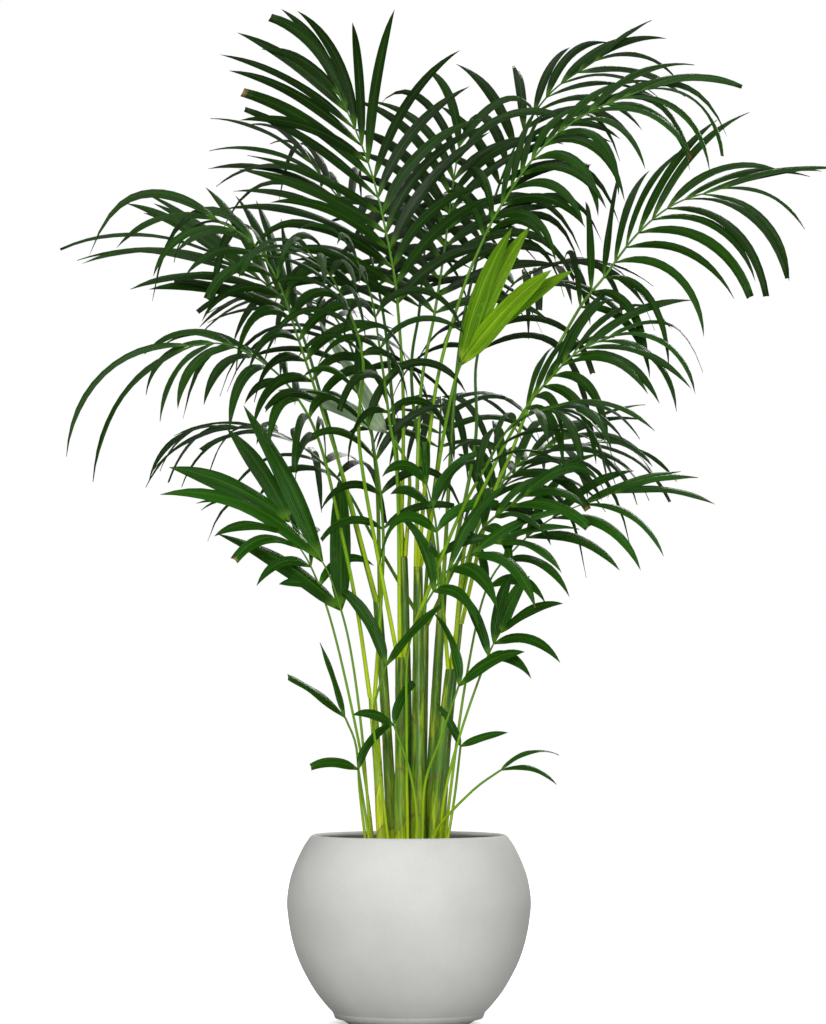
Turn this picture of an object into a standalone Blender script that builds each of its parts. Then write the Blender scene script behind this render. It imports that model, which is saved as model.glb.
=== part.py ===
"""Potted palm: globe planter, nursery pot, potting mix, stems and feather fronds.

Metres, +Z up, floor at z = 0, the planter's axis is the Z axis.
"""
import math
import random

import bmesh
import bpy
from mathutils import Vector
from mathutils.bvhtree import BVHTree

# ---- driving dimensions ---------------------------------------------------
PLANTER_D = 0.428        # widest diameter of the globe
PLANTER_H = 0.330        # floor to the top of the lip
MOUTH_D = 0.3364         # across the lip's crest
FOOT_D = 0.2012          # across the flat foot
PLANTER_WALL = 0.008     # wall of the planter
PLANTER_FLOOR = 0.012    # thickness of its bottom
POT_RIM_GAP = 0.0305     # lip opening to the nursery pot, all round
POT_BELOW_RIM = 0.018    # lip to the nursery pot's edge
POT_WALL = 0.0018        # wall of the nursery pot
POT_SHIFT = 0.012        # the nursery pot stands a little off the axis
SOIL_BELOW_POT = 0.012   # nursery pot's edge down to the potting mix
PLANT_HEIGHT = 1.50      # potting mix to the highest leaf tip
LEAFLET_SCALE = 1.0      # length of every leaflet against the table below
LEAFLET_WIDTH = 1.0      # width of every leaflet against the table below
PETIOLE_R = 0.0038       # leaf stalk radius where it leaves its stem
LEAF_THICK = 0.0014      # keel depth of a leaflet
# ---- clearances -----------------------------------------------------------
GAP = 0.0003             # between pieces that rest on each other
LEAF_GAP = 0.0008        # between one leaflet and everything else
STALK_GAP = 0.0010       # between one stalk and the next
SEAT_GAP = 0.0007        # between three stalks seated on one stem

GROWTH = PLANT_HEIGHT / 1.50
TABLE_SPREAD = GROWTH

for old in list(bpy.data.objects):
    bpy.data.objects.remove(old, do_unlink=True)


def material(name, colour, rough=0.6):
    """One plain Principled material per piece."""
    mat = bpy.data.materials.new(name)
    mat.use_nodes = True
    shader = mat.node_tree.nodes["Principled BSDF"]
    shader.inputs["Base Color"].default_value = (*colour, 1.0)
    shader.inputs["Roughness"].default_value = rough
    mat.diffuse_color = (*colour, 1.0)
    return mat


def piece(name, verts, faces, colour, rough=0.6, smooth=None):
    """One closed body facing out; smooth is a test on the face number."""
    mesh = bpy.data.meshes.new(name)
    mesh.from_pydata([tuple(v) for v in verts], [], faces)
    mesh.update()
    if smooth is not None:
        for face in mesh.polygons:
            face.use_smooth = smooth(face.index)
    bm = bmesh.new()
    bm.from_mesh(mesh)
    bmesh.ops.recalc_face_normals(bm, faces=bm.faces[:])
    bmesh.ops.triangulate(bm, faces=bm.faces[:], quad_method="SHORT_EDGE")
    bm.to_mesh(mesh)
    bm.free()
    mesh.materials.append(material(name, colour, rough))
    obj = bpy.data.objects.new(name, mesh)
    bpy.context.scene.collection.objects.link(obj)
    return obj


def lathe(name, profile, sides, colour, rough, centre=(0.0, 0.0)):
    """Turn a profile that starts and ends on the axis into one closed body."""
    verts = []
    rings = []
    for radius, height in profile:
        if radius < 1e-6:
            rings.append([len(verts)])
            verts.append((centre[0], centre[1], height))
            continue
        ring = []
        for i in range(sides):
            a = 2.0 * math.pi * i / sides
            ring.append(len(verts))
            verts.append((centre[0] + radius * math.cos(a), centre[1] + radius * math.sin(a), height))
        rings.append(ring)
    faces = []
    for low, high in zip(rings, rings[1:]):
        for i in range(sides):
            j = (i + 1) % sides
            if len(low) == 1:
                faces.append((low[0], high[i], high[j]))
            elif len(high) == 1:
                faces.append((low[i], low[j], high[0]))
            else:
                faces.append((low[i], low[j], high[j], high[i]))
    return piece(name, verts, faces, colour, rough, lambda k: True)


# ---- planter --------------------------------------------------------------
# outline from foot to belly and from belly to mouth, as shares of the way out and of the height
FOOT_TO_BELLY = [(0.000, 0.000), (0.076, 0.010), (0.247, 0.052), (0.437, 0.120), (0.618, 0.205),
                 (0.818, 0.335), (0.938, 0.466), (1.000, 0.600)]
BELLY_TO_MOUTH = [(1.000, 0.680), (0.876, 0.775), (0.662, 0.855), (0.390, 0.932), (0.200, 0.972),
                  (0.095, 0.991), (0.000, 1.000)]
belly = PLANTER_D * 0.498
outer = [(FOOT_D / 2.0 + (belly - FOOT_D / 2.0) * out, PLANTER_H * up) for out, up in FOOT_TO_BELLY]
outer += [(MOUTH_D / 2.0 + (belly - MOUTH_D / 2.0) * out, PLANTER_H * up) for out, up in BELLY_TO_MOUTH]
inner = []
for k in range(3, len(outer) - 2):
    before = outer[k - 1]
    after = outer[k + 1]
    run = (after[0] - before[0], after[1] - before[1])
    size = math.hypot(*run)
    inner.append((outer[k][0] - run[1] / size * PLANTER_WALL, outer[k][1] + run[0] / size * PLANTER_WALL))
rim_r = outer[-1][0] - 0.0075
lip = [(outer[-1][0] - 0.0045, PLANTER_H - 0.0012), (rim_r, PLANTER_H - 0.0050)]
floor_r = inner[0][0] - 0.014
shell = [(0.0, 0.0)] + outer + lip + inner[::-1] + [(floor_r, PLANTER_FLOOR), (0.0, PLANTER_FLOOR)]
lathe("planter", shell, 36, (0.56, 0.56, 0.55), 0.85)

# ---- nursery pot and potting mix ------------------------------------------
pot_r = rim_r - POT_RIM_GAP - 0.002
pot_base_r = min(pot_r * 0.76, floor_r - POT_SHIFT - 0.003)
pot_z0 = PLANTER_FLOOR + GAP
pot_z1 = PLANTER_H - POT_BELOW_RIM
pot_slope = (pot_r - pot_base_r) / (pot_z1 - pot_z0)


def pot_outer(z):
    """Outer radius of the nursery pot's wall at a height."""
    return pot_base_r + pot_slope * (z - pot_z0)


pot_profile = [(0.0, pot_z0), (pot_base_r - 0.004, pot_z0), (pot_base_r, pot_z0 + 0.004),
               (pot_outer(pot_z1 - 0.013), pot_z1 - 0.013), (pot_outer(pot_z1) + 0.002, pot_z1 - 0.012),
               (pot_outer(pot_z1) + 0.002, pot_z1 - 0.0015), (pot_outer(pot_z1) + 0.0005, pot_z1),
               (pot_outer(pot_z1) - POT_WALL, pot_z1 - 0.0005),
               (pot_base_r - POT_WALL, pot_z0 + 0.006), (pot_base_r - 0.007, pot_z0 + 0.002),
               (0.0, pot_z0 + 0.002)]
lathe("nursery_pot", pot_profile, 32, (0.012, 0.012, 0.016), 0.45, (POT_SHIFT, 0.0))

SOIL_TOP = pot_z1 - SOIL_BELOW_POT
soil_low = pot_z0 + 0.010


def soil_r(z):
    """Radius of the potting mix at a height, inside the faceted pot wall."""
    return (pot_outer(z) - POT_WALL - 2.0 * GAP) * math.cos(math.pi / 32.0) - GAP


soil_profile = [(0.0, soil_low), (soil_r(soil_low) - 0.002, soil_low),
                (soil_r(SOIL_TOP - 0.006), SOIL_TOP - 0.006), (soil_r(SOIL_TOP) - 0.004, SOIL_TOP - 0.001),
                (soil_r(SOIL_TOP) - 0.016, SOIL_TOP), (0.0, SOIL_TOP)]
lathe("soil", soil_profile, 32, (0.020, 0.014, 0.010), 0.95, (POT_SHIFT, 0.0))

# ---- stems ----------------------------------------------------------------
# foot (x, y), top (x, y, height above the potting mix), foot radius, top radius
STEMS = {
    "a": ((-0.048, -0.010), (-0.064, -0.016, 0.27), 0.0090, 0.0078),
    "b": ((-0.030, 0.024), (-0.056, 0.028, 0.44), 0.0100, 0.0088),
    "c": ((-0.014, -0.026), (-0.016, -0.040, 0.34), 0.0115, 0.0088),
    "d": ((0.016, -0.004), (0.016, -0.004, 0.50), 0.0135, 0.0092),
    "e": ((-0.002, 0.034), (-0.010, 0.040, 0.52), 0.0115, 0.0088),
    "f": ((0.036, 0.022), (0.060, 0.038, 0.46), 0.0100, 0.0088),
    "g": ((0.042, -0.020), (0.072, -0.036, 0.32), 0.0090, 0.0086),
    "h": ((0.054, 0.005), (0.088, 0.006, 0.40), 0.0090, 0.0080),
    "i": ((0.022, 0.056), (0.028, 0.085, 0.40), 0.0095, 0.0086),
}
SWELL = [(0.0, 1.00), (0.08, 0.93), (0.25, 1.02), (0.45, 0.96), (0.70, 0.98), (0.93, 1.00), (1.0, 0.96)]


def stem_axis(key, share):
    """Point on a stem's axis; stems start upright and lean outward higher up."""
    foot, top, _, _ = STEMS[key]
    bend = share ** 1.4
    return Vector((foot[0] + (top[0] - foot[0]) * bend, foot[1] + (top[1] - foot[1]) * bend,
                   SOIL_TOP + GAP + (top[2] * GROWTH - GAP) * share))


def stem_radius(key, share):
    """Stem radius with the swellings of the old sheaths."""
    _, _, low, high = STEMS[key]
    for (s0, f0), (s1, f1) in zip(SWELL, SWELL[1:]):
        if share <= s1:
            f = f0 + (f1 - f0) * (share - s0) / (s1 - s0)
            return (low + (high - low) * share) * f
    return high


TALL_GREEN = (0.10, 0.17, 0.05)
LIME = (0.42, 0.50, 0.06)
for key in STEMS:
    verts = []
    faces = []
    for share, _ in SWELL:
        centre = stem_axis(key, share)
        radius = stem_radius(key, share)
        for i in range(8):
            angle = 2.0 * math.pi * i / 8
            verts.append(centre + Vector((math.cos(angle), math.sin(angle), 0.0)) * radius)
    rings = len(SWELL)
    for k in range(rings - 1):
        for i in range(8):
            j = (i + 1) % 8
            faces.append((8 * k + i, 8 * k + j, 8 * k + 8 + j, 8 * k + 8 + i))
    faces.append(tuple(range(8)))
    faces.append(tuple(8 * (rings - 1) + i for i in range(8)))
    last = len(faces) - 2
    piece("stem_" + key, verts, faces, LIME if key == "a" else TALL_GREEN, 0.4,
          lambda k, last=last: k < last)

# ---- fronds ---------------------------------------------------------------
# root: stem letter and direction in degrees on its top, or a spot on the potting mix
# path: points the stalk and midrib pass, heights above the potting mix
# fork: which path point carries the first leaflets; pairs: leaflets on each side
# reach and blade: longest leaflet and its width
# spread: degrees between midrib and leaflet; lift: degrees above the frond's own plane
# droop: bend of a leaflet over its length in radians; where two are given, one for each side
# face: where the upper side looks; tail: length of the last pair against the rest
FRONDS = []


def frond(name, root, path, fork, pairs, reach, blade, spread, lift, droop, face, tail=1.0):
    """Adds one frond's row to the table."""
    spread = spread if isinstance(spread, tuple) else (spread, spread)
    droop = droop if isinstance(droop, tuple) else (droop, droop)
    FRONDS.append(dict(name=name, root=root, path=path, fork=fork, pairs=pairs, reach=reach, blade=blade,
                       spread=spread, lift=lift, droop=droop, face=face, tail=tail))


frond("top_left", ("e", 200), [(-0.01, 0.01, 0.78), (-0.02, -0.025, 0.96), (-0.033, -0.045, 1.05),
      (-0.060, -0.06, 1.17), (-0.088, -0.075, 1.25), (-0.122, -0.085, 1.325)],
      1, 13, 0.27, 0.0185, (35, 44), 12, (0.80, 0.50), (0.15, -0.85, 0.45), 0.84)
frond("top_left_back", ("e", 80), [(-0.03, 0.08, 0.80), (-0.05, 0.11, 0.98), (-0.09, 0.15, 1.12),
      (-0.18, 0.19, 1.25)], 1, 11, 0.25, 0.017, (46, 50), 12, (1.10, 0.90), (0.35, -0.60, 0.60))
frond("top_mid", ("d", 150), [(0.02, 0.01, 0.80), (0.045, 0.03, 0.95), (0.062, 0.045, 1.06),
      (0.076, 0.055, 1.17), (0.090, 0.060, 1.26)], 1, 11, 0.24, 0.018, (44, 40), 14, (1.05, 0.90),
      (-0.05, -0.85, 0.45), 0.85)
frond("top_right_back", ("f", 90), [(0.085, 0.07, 0.85), (0.12, 0.09, 1.05), (0.18, 0.11, 1.24),
      (0.25, 0.13, 1.36), (0.34, 0.14, 1.43)], 1, 13, 0.22, 0.018, (43, 39), 13, (1.15, 0.80),
      (-0.25, -0.75, 0.55), 0.80)
frond("top_right_front", ("d", 270), [(0.045, -0.04, 0.80), (0.09, -0.06, 0.97), (0.13, -0.07, 1.07),
      (0.165, -0.08, 1.135), (0.23, -0.10, 1.225), (0.31, -0.12, 1.285), (0.40, -0.14, 1.32)],
      2, 13, 0.22, 0.017, (44, 38), 15, (1.45, 1.05), (-0.35, -0.60, 0.70))
frond("right_big", ("h", 0), [(0.143, -0.02, 0.61), (0.18, -0.03, 0.70), (0.224, -0.045, 0.813),
      (0.298, -0.06, 0.950), (0.34, -0.07, 1.003), (0.40, -0.085, 1.080), (0.465, -0.10, 1.130),
      (0.545, -0.11, 1.155)], 3, 11, 0.25, 0.016, (52, 38), 12, (1.45, 0.62), (-0.30, -0.70, 0.65), 0.80)
frond("right_mid", ("g", 340), [(0.10, -0.08, 0.55), (0.14, -0.12, 0.655), (0.20, -0.15, 0.765),
      (0.25, -0.17, 0.825), (0.29, -0.18, 0.862), (0.345, -0.19, 0.888)], 2, 9, 0.22, 0.0185, (51, 38), 14,
      (1.30, 0.75), (-0.35, -0.55, 0.75))
frond("right_inner", ("h", 120), [(0.10, 0.03, 0.50), (0.135, 0.03, 0.60), (0.19, 0.04, 0.68),
      (0.27, 0.05, 0.73)], 1, 7, 0.20, 0.020, (48, 42), 14, (1.15, 0.80), (-0.35, -0.60, 0.70))
frond("right_low", (0.062, -0.014), [(0.072, -0.01, 0.10), (0.10, 0.00, 0.30), (0.136, 0.00, 0.46),
      (0.19, -0.005, 0.535), (0.26, -0.01, 0.590), (0.36, -0.02, 0.630)], 2, 6, 0.19, 0.020, (46, 38), 12,
      (1.05, 0.60), (-0.40, -0.60, 0.70))
frond("front_right_young", (-0.002, -0.047), [(-0.004, -0.07, 0.20), (0.00, -0.09, 0.36),
      (0.04, -0.12, 0.45), (0.08, -0.14, 0.50), (0.15, -0.17, 0.535)],
      2, 4, 0.18, 0.025, (46, 36), 16, (1.00, 0.70), (-0.20, -0.65, 0.75))
frond("right_broad", ("g", 100), [(0.10, -0.05, 0.47), (0.125, -0.08, 0.56), (0.20, -0.11, 0.62)],
      1, 4, 0.17, 0.024, (46, 40), 14, 1.00, (-0.30, -0.60, 0.75))
frond("left_upper_front", ("b", 260), [(-0.07, -0.02, 0.49), (-0.11, -0.07, 0.64), (-0.155, -0.10, 0.78),
      (-0.195, -0.13, 0.90), (-0.225, -0.15, 0.985), (-0.268, -0.17, 1.05), (-0.33, -0.185, 1.09)],
      2, 11, 0.21, 0.0180, (51, 52), 14, (1.70, 1.40), (0.30, -0.65, 0.70), 1.15)
frond("left_upper_back", ("b", 140), [(-0.11, 0.05, 0.63), (-0.155, 0.06, 0.80), (-0.20, 0.07, 0.94),
      (-0.255, 0.08, 1.010), (-0.330, 0.09, 1.060)], 2, 8, 0.28, 0.020, (28, 44), 12, (0.30, 0.55),
      (0.40, -0.65, 0.65), 1.16)
frond("left_lower", ("a", 200), [(-0.09, -0.05, 0.42), (-0.118, -0.09, 0.56), (-0.156, -0.13, 0.715),
      (-0.203, -0.16, 0.80), (-0.255, -0.18, 0.847), (-0.316, -0.20, 0.873), (-0.37, -0.215, 0.868)],
      2, 9, 0.18, 0.018, (50, 52), 14, (1.80, 1.60), (0.35, -0.50, 0.80), 1.78)
frond("left_young", (-0.066, -0.012), [(-0.075, -0.01, 0.12), (-0.085, -0.02, 0.23), (-0.100, -0.03, 0.34),
      (-0.118, -0.04, 0.42), (-0.150, -0.05, 0.505), (-0.210, -0.06, 0.580)],
      3, 3, 0.30, 0.034, (13, 24), 10, (0.25, 0.40), (0.30, -0.85, 0.45), 0.80)
frond("left_low_droop", (-0.062, 0.012), [(-0.072, 0.012, 0.09), (-0.090, -0.002, 0.20),
      (-0.125, -0.03, 0.36), (-0.155, -0.05, 0.46), (-0.190, -0.065, 0.53), (-0.245, -0.08, 0.585)],
      3, 5, 0.17, 0.019, (46, 44), 12, (1.15, 1.00), (0.35, -0.55, 0.75))
frond("centre_front", ("c", 270), [(-0.02, -0.07, 0.64), (-0.035, -0.10, 0.76), (-0.05, -0.13, 0.87),
      (-0.065, -0.16, 0.96), (-0.09, -0.20, 1.02)], 1, 6, 0.19, 0.014, 50, 12, 1.55, (0.10, -0.45, 0.90))
frond("pale_leaf", ("e", 320), [(0.003, 0.03, 0.65), (-0.015, 0.02, 0.70), (-0.036, 0.01, 0.740)],
      2, 1, 0.25, 0.036, 12, 8, 0.25, (0.40, -0.80, 0.30))
frond("young_spear", ("d", 30), [(0.035, -0.01, 0.56), (0.052, -0.04, 0.68), (0.072, -0.08, 0.79),
      (0.088, -0.10, 0.845), (0.108, -0.11, 0.880)], 3, 2, 0.29, 0.036, (8, 11), 8, (0.20, 0.30), (-0.20, -0.95, 0.25), 0.90)
frond("right_fan_low", (0.052, -0.042), [(0.062, -0.06, 0.10), (0.09, -0.07, 0.21), (0.136, -0.09, 0.34),
      (0.160, -0.10, 0.385)], 2, 3, 0.15, 0.021, (56, 36), 14, (0.85, 0.35), (-0.20, -0.70, 0.65))
frond("right_low_pair", (0.022, -0.040), [(0.028, -0.058, 0.12), (0.055, -0.08, 0.20),
      (0.086, -0.10, 0.29)], 2, 1, 0.16, 0.022, (30, 30), 12, 0.60, (-0.30, -0.70, 0.65))
frond("right_tiny_pair", (0.064, -0.036), [(0.080, -0.034, 0.10), (0.090, -0.040, 0.185)],
      1, 1, 0.085, 0.014, (56, 30), 12, 0.30, (-0.10, -0.80, 0.60))
frond("right_lowest", (0.036, -0.056), [(0.046, -0.066, 0.035), (0.066, -0.08, 0.065), (0.116, -0.10, 0.115),
      (0.158, -0.11, 0.145)], 3, 1, 0.11, 0.017, 24, 10, 0.90, (-0.40, -0.50, 0.80))
frond("left_tiny_upper", (-0.074, 0.010), [(-0.086, 0.000, 0.10), (-0.093, -0.005, 0.185),
      (-0.112, -0.010, 0.235)], 2, 1, 0.14, 0.018, (16, 28), 10, 0.35, (0.45, -0.60, 0.65))
frond("left_tiny_mid", (-0.066, -0.034), [(-0.078, -0.040, 0.08), (-0.088, -0.050, 0.145)],
      1, 1, 0.11, 0.018, (26, 52), 10, 0.45, (0.35, -0.65, 0.65))
frond("centre_tiny", (0.010, -0.060), [(0.014, -0.070, 0.06), (0.002, -0.080, 0.14), (-0.026, -0.090, 0.222)],
      2, 1, 0.10, 0.016, 34, 12, 0.60, (0.35, -0.75, 0.50))
frond("centre_leaf", (-0.034, -0.050), [(-0.050, -0.062, 0.14), (-0.062, -0.075, 0.24),
      (-0.040, -0.085, 0.325)], 2, 1, 0.15, 0.022, 26, 12, 0.45, (-0.30, -0.75, 0.50))
frond("centre_inner", ("g", 220), [(0.060, -0.07, 0.42), (0.052, -0.10, 0.51), (0.045, -0.12, 0.58),
      (0.030, -0.14, 0.64)], 1, 4, 0.14, 0.018, 44, 12, 0.90, (0.20, -0.70, 0.65))
frond("left_inner", ("a", 320), [(-0.050, -0.04, 0.42), (-0.045, -0.06, 0.56), (-0.060, -0.08, 0.70),
      (-0.090, -0.10, 0.80)], 1, 5, 0.17, 0.015, 46, 12, 1.25, (0.20, -0.60, 0.75))
frond("back_left", ("b", 20), [(-0.06, 0.12, 0.68), (-0.09, 0.20, 0.86), (-0.14, 0.30, 0.98),
      (-0.21, 0.42, 1.04)], 1, 9, 0.26, 0.017, 50, 14, 1.25, (0.25, -0.30, 0.90))
frond("back_right", ("f", 330), [(0.10, 0.12, 0.72), (0.13, 0.20, 0.90), (0.19, 0.30, 1.04),
      (0.30, 0.41, 1.10)], 1, 9, 0.26, 0.017, 50, 14, 1.25, (-0.40, -0.40, 0.80))
frond("back_right_low", ("i", 0), [(0.09, 0.16, 0.52), (0.15, 0.22, 0.63), (0.24, 0.31, 0.72),
      (0.34, 0.38, 0.75)], 1, 8, 0.23, 0.018, 48, 14, 1.25, (-0.50, -0.40, 0.80))
frond("back_left_low", ("i", 240), [(-0.06, 0.16, 0.55), (-0.13, 0.22, 0.67), (-0.24, 0.30, 0.76),
      (-0.36, 0.36, 0.78)], 1, 8, 0.23, 0.018, 52, 14, 1.15, (0.50, -0.40, 0.80), 0.9)
frond("back_centre", ("f", 210), [(0.02, 0.12, 0.82), (0.01, 0.18, 0.98), (0.02, 0.26, 1.12),
      (0.04, 0.36, 1.20)], 1, 9, 0.25, 0.017, 52, 14, 1.20, (0.00, -0.50, 0.85))
frond("back_mid", ("i", 120), [(0.04, 0.18, 0.60), (0.055, 0.27, 0.73), (0.06, 0.38, 0.83),
      (0.06, 0.50, 0.84)], 1, 8, 0.23, 0.018, 52, 14, 1.15, (0.00, -0.40, 0.95))
frond("front_left", ("c", 150), [(-0.060, -0.14, 0.69), (-0.085, -0.20, 0.85), (-0.12, -0.29, 0.96),
      (-0.16, -0.39, 1.01)], 1, 7, 0.20, 0.015, 50, 14, 1.40, (0.30, -0.10, 0.95))
frond("front_right", ("c", 30), [(0.07, -0.14, 0.56), (0.13, -0.21, 0.66), (0.20, -0.30, 0.73),
      (0.27, -0.39, 0.75)], 1, 7, 0.19, 0.0165, 48, 14, 1.30, (-0.30, -0.10, 0.95))

HEX = [math.radians(a) for a in (90, 30, -30, -90, -150, 150)]
TRI = [math.radians(a) for a in (90, -30, -150)]
ROOT_LONG = 0.007        # length of midrib one leaflet is grown to
SEATS = (2.0 * PETIOLE_R + SEAT_GAP) / math.sqrt(3.0)   # from the stem's axis to each stalk seated on it


def smooth_path(points, steps=14):
    """Catmull-Rom curve through the points, with the sample number of each point."""
    ends = [points[0] * 2.0 - points[1]] + points + [points[-1] * 2.0 - points[-2]]
    out = []
    for k in range(1, len(ends) - 2):
        a, b, c, d = ends[k - 1:k + 3]
        for j in range(steps):
            t = j / steps
            out.append(0.5 * (b * 2.0 + (c - a) * t + (a * 2.0 - b * 5.0 + c * 4.0 - d) * t * t
                              + (b * 3.0 - a - c * 3.0 + d) * t ** 3))
    out.append(points[-1].copy())
    return out


class Rail:
    """Curve that can be asked for a place and a direction by length."""

    def __init__(self, points, fork):
        self.line = smooth_path(points)
        self.run = [0.0]
        for a, b in zip(self.line, self.line[1:]):
            self.run.append(self.run[-1] + (b - a).length)
        self.fork = self.run[fork * 14]
        self.length = self.run[-1]

    def at(self, s):
        s = min(max(s, 0.0), self.length)
        low = 0
        high = len(self.run) - 1
        while high - low > 1:
            mid = (low + high) // 2
            if self.run[mid] <= s:
                low = mid
            else:
                high = mid
        f = (s - self.run[low]) / (self.run[high] - self.run[low])
        return self.line[low].lerp(self.line[high], f)

    def heading(self, s):
        return (self.at(s + 0.004) - self.at(s - 0.004)).normalized()


def frame(heading, face):
    """Side and upper directions of a frond."""
    side = heading.cross(Vector(face)).normalized()
    return side, side.cross(heading)


def stations(rail, row):
    """Lengths of the stalk's rings and of each pair of leaflets."""
    stalk = max(3, int(round((rail.fork + 0.05) / 0.13)))
    rings = [(rail.fork - 0.006) * k / stalk for k in range(stalk + 1)]
    ribs = []
    free = rail.length - rail.fork - ROOT_LONG
    for k in range(row["pairs"]):
        u = k / (row["pairs"] - 1) if row["pairs"] > 1 else 0.0
        ribs.append(rail.fork + free * u)
    return rings, ribs


def stalk_radius(rail, row, s):
    """Radius of stalk and midrib along their length."""
    low = PETIOLE_R * row["girth"]
    if s < rail.fork:
        return low * (1.0 - 0.32 * s / rail.fork)
    return low * (0.68 - 0.36 * (s - rail.fork) / max(rail.length - rail.fork, 0.01))


def joints(rail, row):
    """The straight pieces of stalk and midrib as (place, radius)."""
    rings, ribs = stations(rail, row)
    marks = rings[:]
    for s in ribs:
        marks += [s, s + ROOT_LONG]
    return [(rail.at(s), stalk_radius(rail, row, s)) for s in marks]


def spots(line, step=0.005):
    """Sample balls along a jointed line."""
    out = []
    for (a, ra), (b, rb) in zip(line, line[1:]):
        count = max(1, int((b - a).length / step))
        for k in range(count):
            f = k / count
            out.append((a.lerp(b, f), ra + (rb - ra) * f))
    out.append(line[-1])
    return out


def cells(ball, size=0.03):
    return tuple(int(math.floor(c / size)) for c in ball)


class Crowd:
    """Balls already standing, found through a coarse grid."""

    def __init__(self):
        self.grid = {}

    def add(self, balls, owner):
        for place, radius in balls:
            self.grid.setdefault(cells(place), []).append((place, radius, owner))

    def room(self, balls, skip):
        """Smallest free distance from the balls to everything of another owner."""
        best = 1.0
        for place, radius in balls:
            ci, cj, ck = cells(place)
            for i in (ci - 1, ci, ci + 1):
                for j in (cj - 1, cj, cj + 1):
                    for k in (ck - 1, ck, ck + 1):
                        for other, r2, owner in self.grid.get((i, j, k), ()):
                            if owner != skip:
                                best = min(best, (other - place).length - radius - r2)
        return best


crowd = Crowd()
for key in STEMS:
    axis = [(stem_axis(key, k / 60.0), stem_radius(key, k / 60.0)) for k in range(61)]
    crowd.add(axis, "stem_" + key)

for number, row in enumerate(FRONDS):
    root = row["root"]
    on_stem = isinstance(root[0], str)
    row["girth"] = 1.0 if on_stem else 0.74
    owner = "stem_" + root[0] if on_stem else ""
    if on_stem:
        turn = math.radians(root[1])
        seat = stem_axis(root[0], 1.0) + Vector((math.cos(turn), math.sin(turn), 0.0)) * SEATS
        seat.z += GAP
    else:
        seat = Vector((root[0], root[1], SOIL_TOP + GAP))
    dice = random.Random(500 + number)
    best = None
    for attempt in range(160):
        push = 0.00035 * attempt
        points = [seat.copy()]
        for x, y, z in row["path"]:
            jog = Vector((dice.gauss(0.0, 1.0), dice.gauss(0.0, 1.0), 0.0)) * push
            points.append(Vector((x * TABLE_SPREAD, y * TABLE_SPREAD, SOIL_TOP + z * GROWTH)) + jog)
        rail = Rail(points, row["fork"] + 1)
        line = joints(rail, row)
        space = crowd.room(spots(line), owner)
        if best is None or space > best[0]:
            best = (space, rail, line)
        if space > STALK_GAP:
            break
    row["rail"] = best[1]
    row["space"] = best[0]
    crowd.add(spots(best[2]), row["name"])


def blade(rail, row, number, pair, hand, trial):
    """Shape of one leaflet: its root, direction, bend, length and width."""
    rings, ribs = stations(rail, row)
    dice = random.Random(100000 + number * 1000 + pair * 10 + (1 if hand > 0 else 0))
    wob = [dice.uniform(-1.0, 1.0) for _ in range(6)]
    for _ in range(trial):
        wob2 = [dice.uniform(-1.0, 1.0) for _ in range(4)]
    push = 0.0
    if trial:
        push = 0.10 + 0.035 * trial
    else:
        wob2 = [0.0] * 4
    s = ribs[pair]
    u = pair / (row["pairs"] - 1) if row["pairs"] > 1 else 0.6
    heading = rail.heading(s + ROOT_LONG / 2.0)
    side, top = frame(heading, row["face"])
    full = row["pairs"] > 1
    spread = row["spread"][0 if hand > 0 else 1]
    if full:
        spread = spread * (1.10 - 0.78 * u ** 1.5)
    a = math.radians(spread + 6.0 * wob[0] + 9.0 * push * wob2[0])
    b = math.radians(row["lift"] + 11.0 * wob[1] + 22.0 * push * wob2[1])
    share = 0.80 + 0.26 * math.sin(math.pi * (0.10 + 0.75 * u)) if full else 1.0
    if full and pair == row["pairs"] - 1:
        share *= row["tail"]
    length = row["reach"] * LEAFLET_SCALE * share * (1.0 + 0.09 * wob[2]) * (1.0 - 0.010 * trial)
    width = row["blade"] * LEAFLET_WIDTH * (1.0 + 0.08 * wob[3]) * (1.0 - 0.18 * abs(u - 0.45))
    a = max(a, 1.15 * math.asin(min(0.9, width / (0.6 * length))))
    bend = row["droop"][0 if hand > 0 else 1] * (1.0 + 0.34 * wob[4] + 0.55 * push * wob2[2])
    if wob[5] > 0.86:
        bend *= 1.45
    out = heading * math.cos(a) + (side * hand * math.cos(b) + top * math.sin(b)) * math.sin(a)
    out.normalize()
    down = Vector((0.0, 0.0, -1.0))
    room = out.angle(down)
    bend = max(0.12, min(bend, room * 0.96))
    axle = out.cross(down)
    axle.normalize()
    fall = axle.cross(out)
    across = (heading - out * heading.dot(out)).normalized()
    # every tip nods a little, and some steep leaflets have folded over near their end
    nod = 0.06 + 0.045 * wob[1]
    hook = 0.34 + 0.14 * wob[3] if out.z > 0.55 and bend > 0.8 and wob[2] > 0.1 and full else 0.0
    return dict(root=rail.at(s + ROOT_LONG / 2.0), out=out, axle=axle, fall=fall, across=across,
                length=length, width=width, bend=bend, top=top, nod=nod, hook=hook)


def along(leaf, s):
    """Middle, width direction and upper direction of a leaflet at a share of its length."""
    k = leaf["bend"]
    t = k * s
    mid = leaf["root"] + (leaf["out"] * math.sin(t) + leaf["fall"] * (1.0 - math.cos(t))) * (leaf["length"] / k)
    mid.z -= leaf["length"] * (leaf["nod"] * s ** 3 + leaf["hook"] * s ** 6)
    ahead = leaf["out"] * math.cos(t) + leaf["fall"] * math.sin(t)
    wide = leaf["axle"] * leaf["across"].dot(leaf["axle"])
    wide += (leaf["fall"] * math.cos(t) - leaf["out"] * math.sin(t)) * leaf["across"].dot(leaf["fall"])
    up = ahead.cross(wide).normalized()
    t0 = leaf["out"].cross(leaf["across"])
    if t0.dot(leaf["top"]) < 0.0:
        up = -up
    return mid, wide, up


SECTIONS = [(0.30, 1.00), (0.68, 0.76)]


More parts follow.
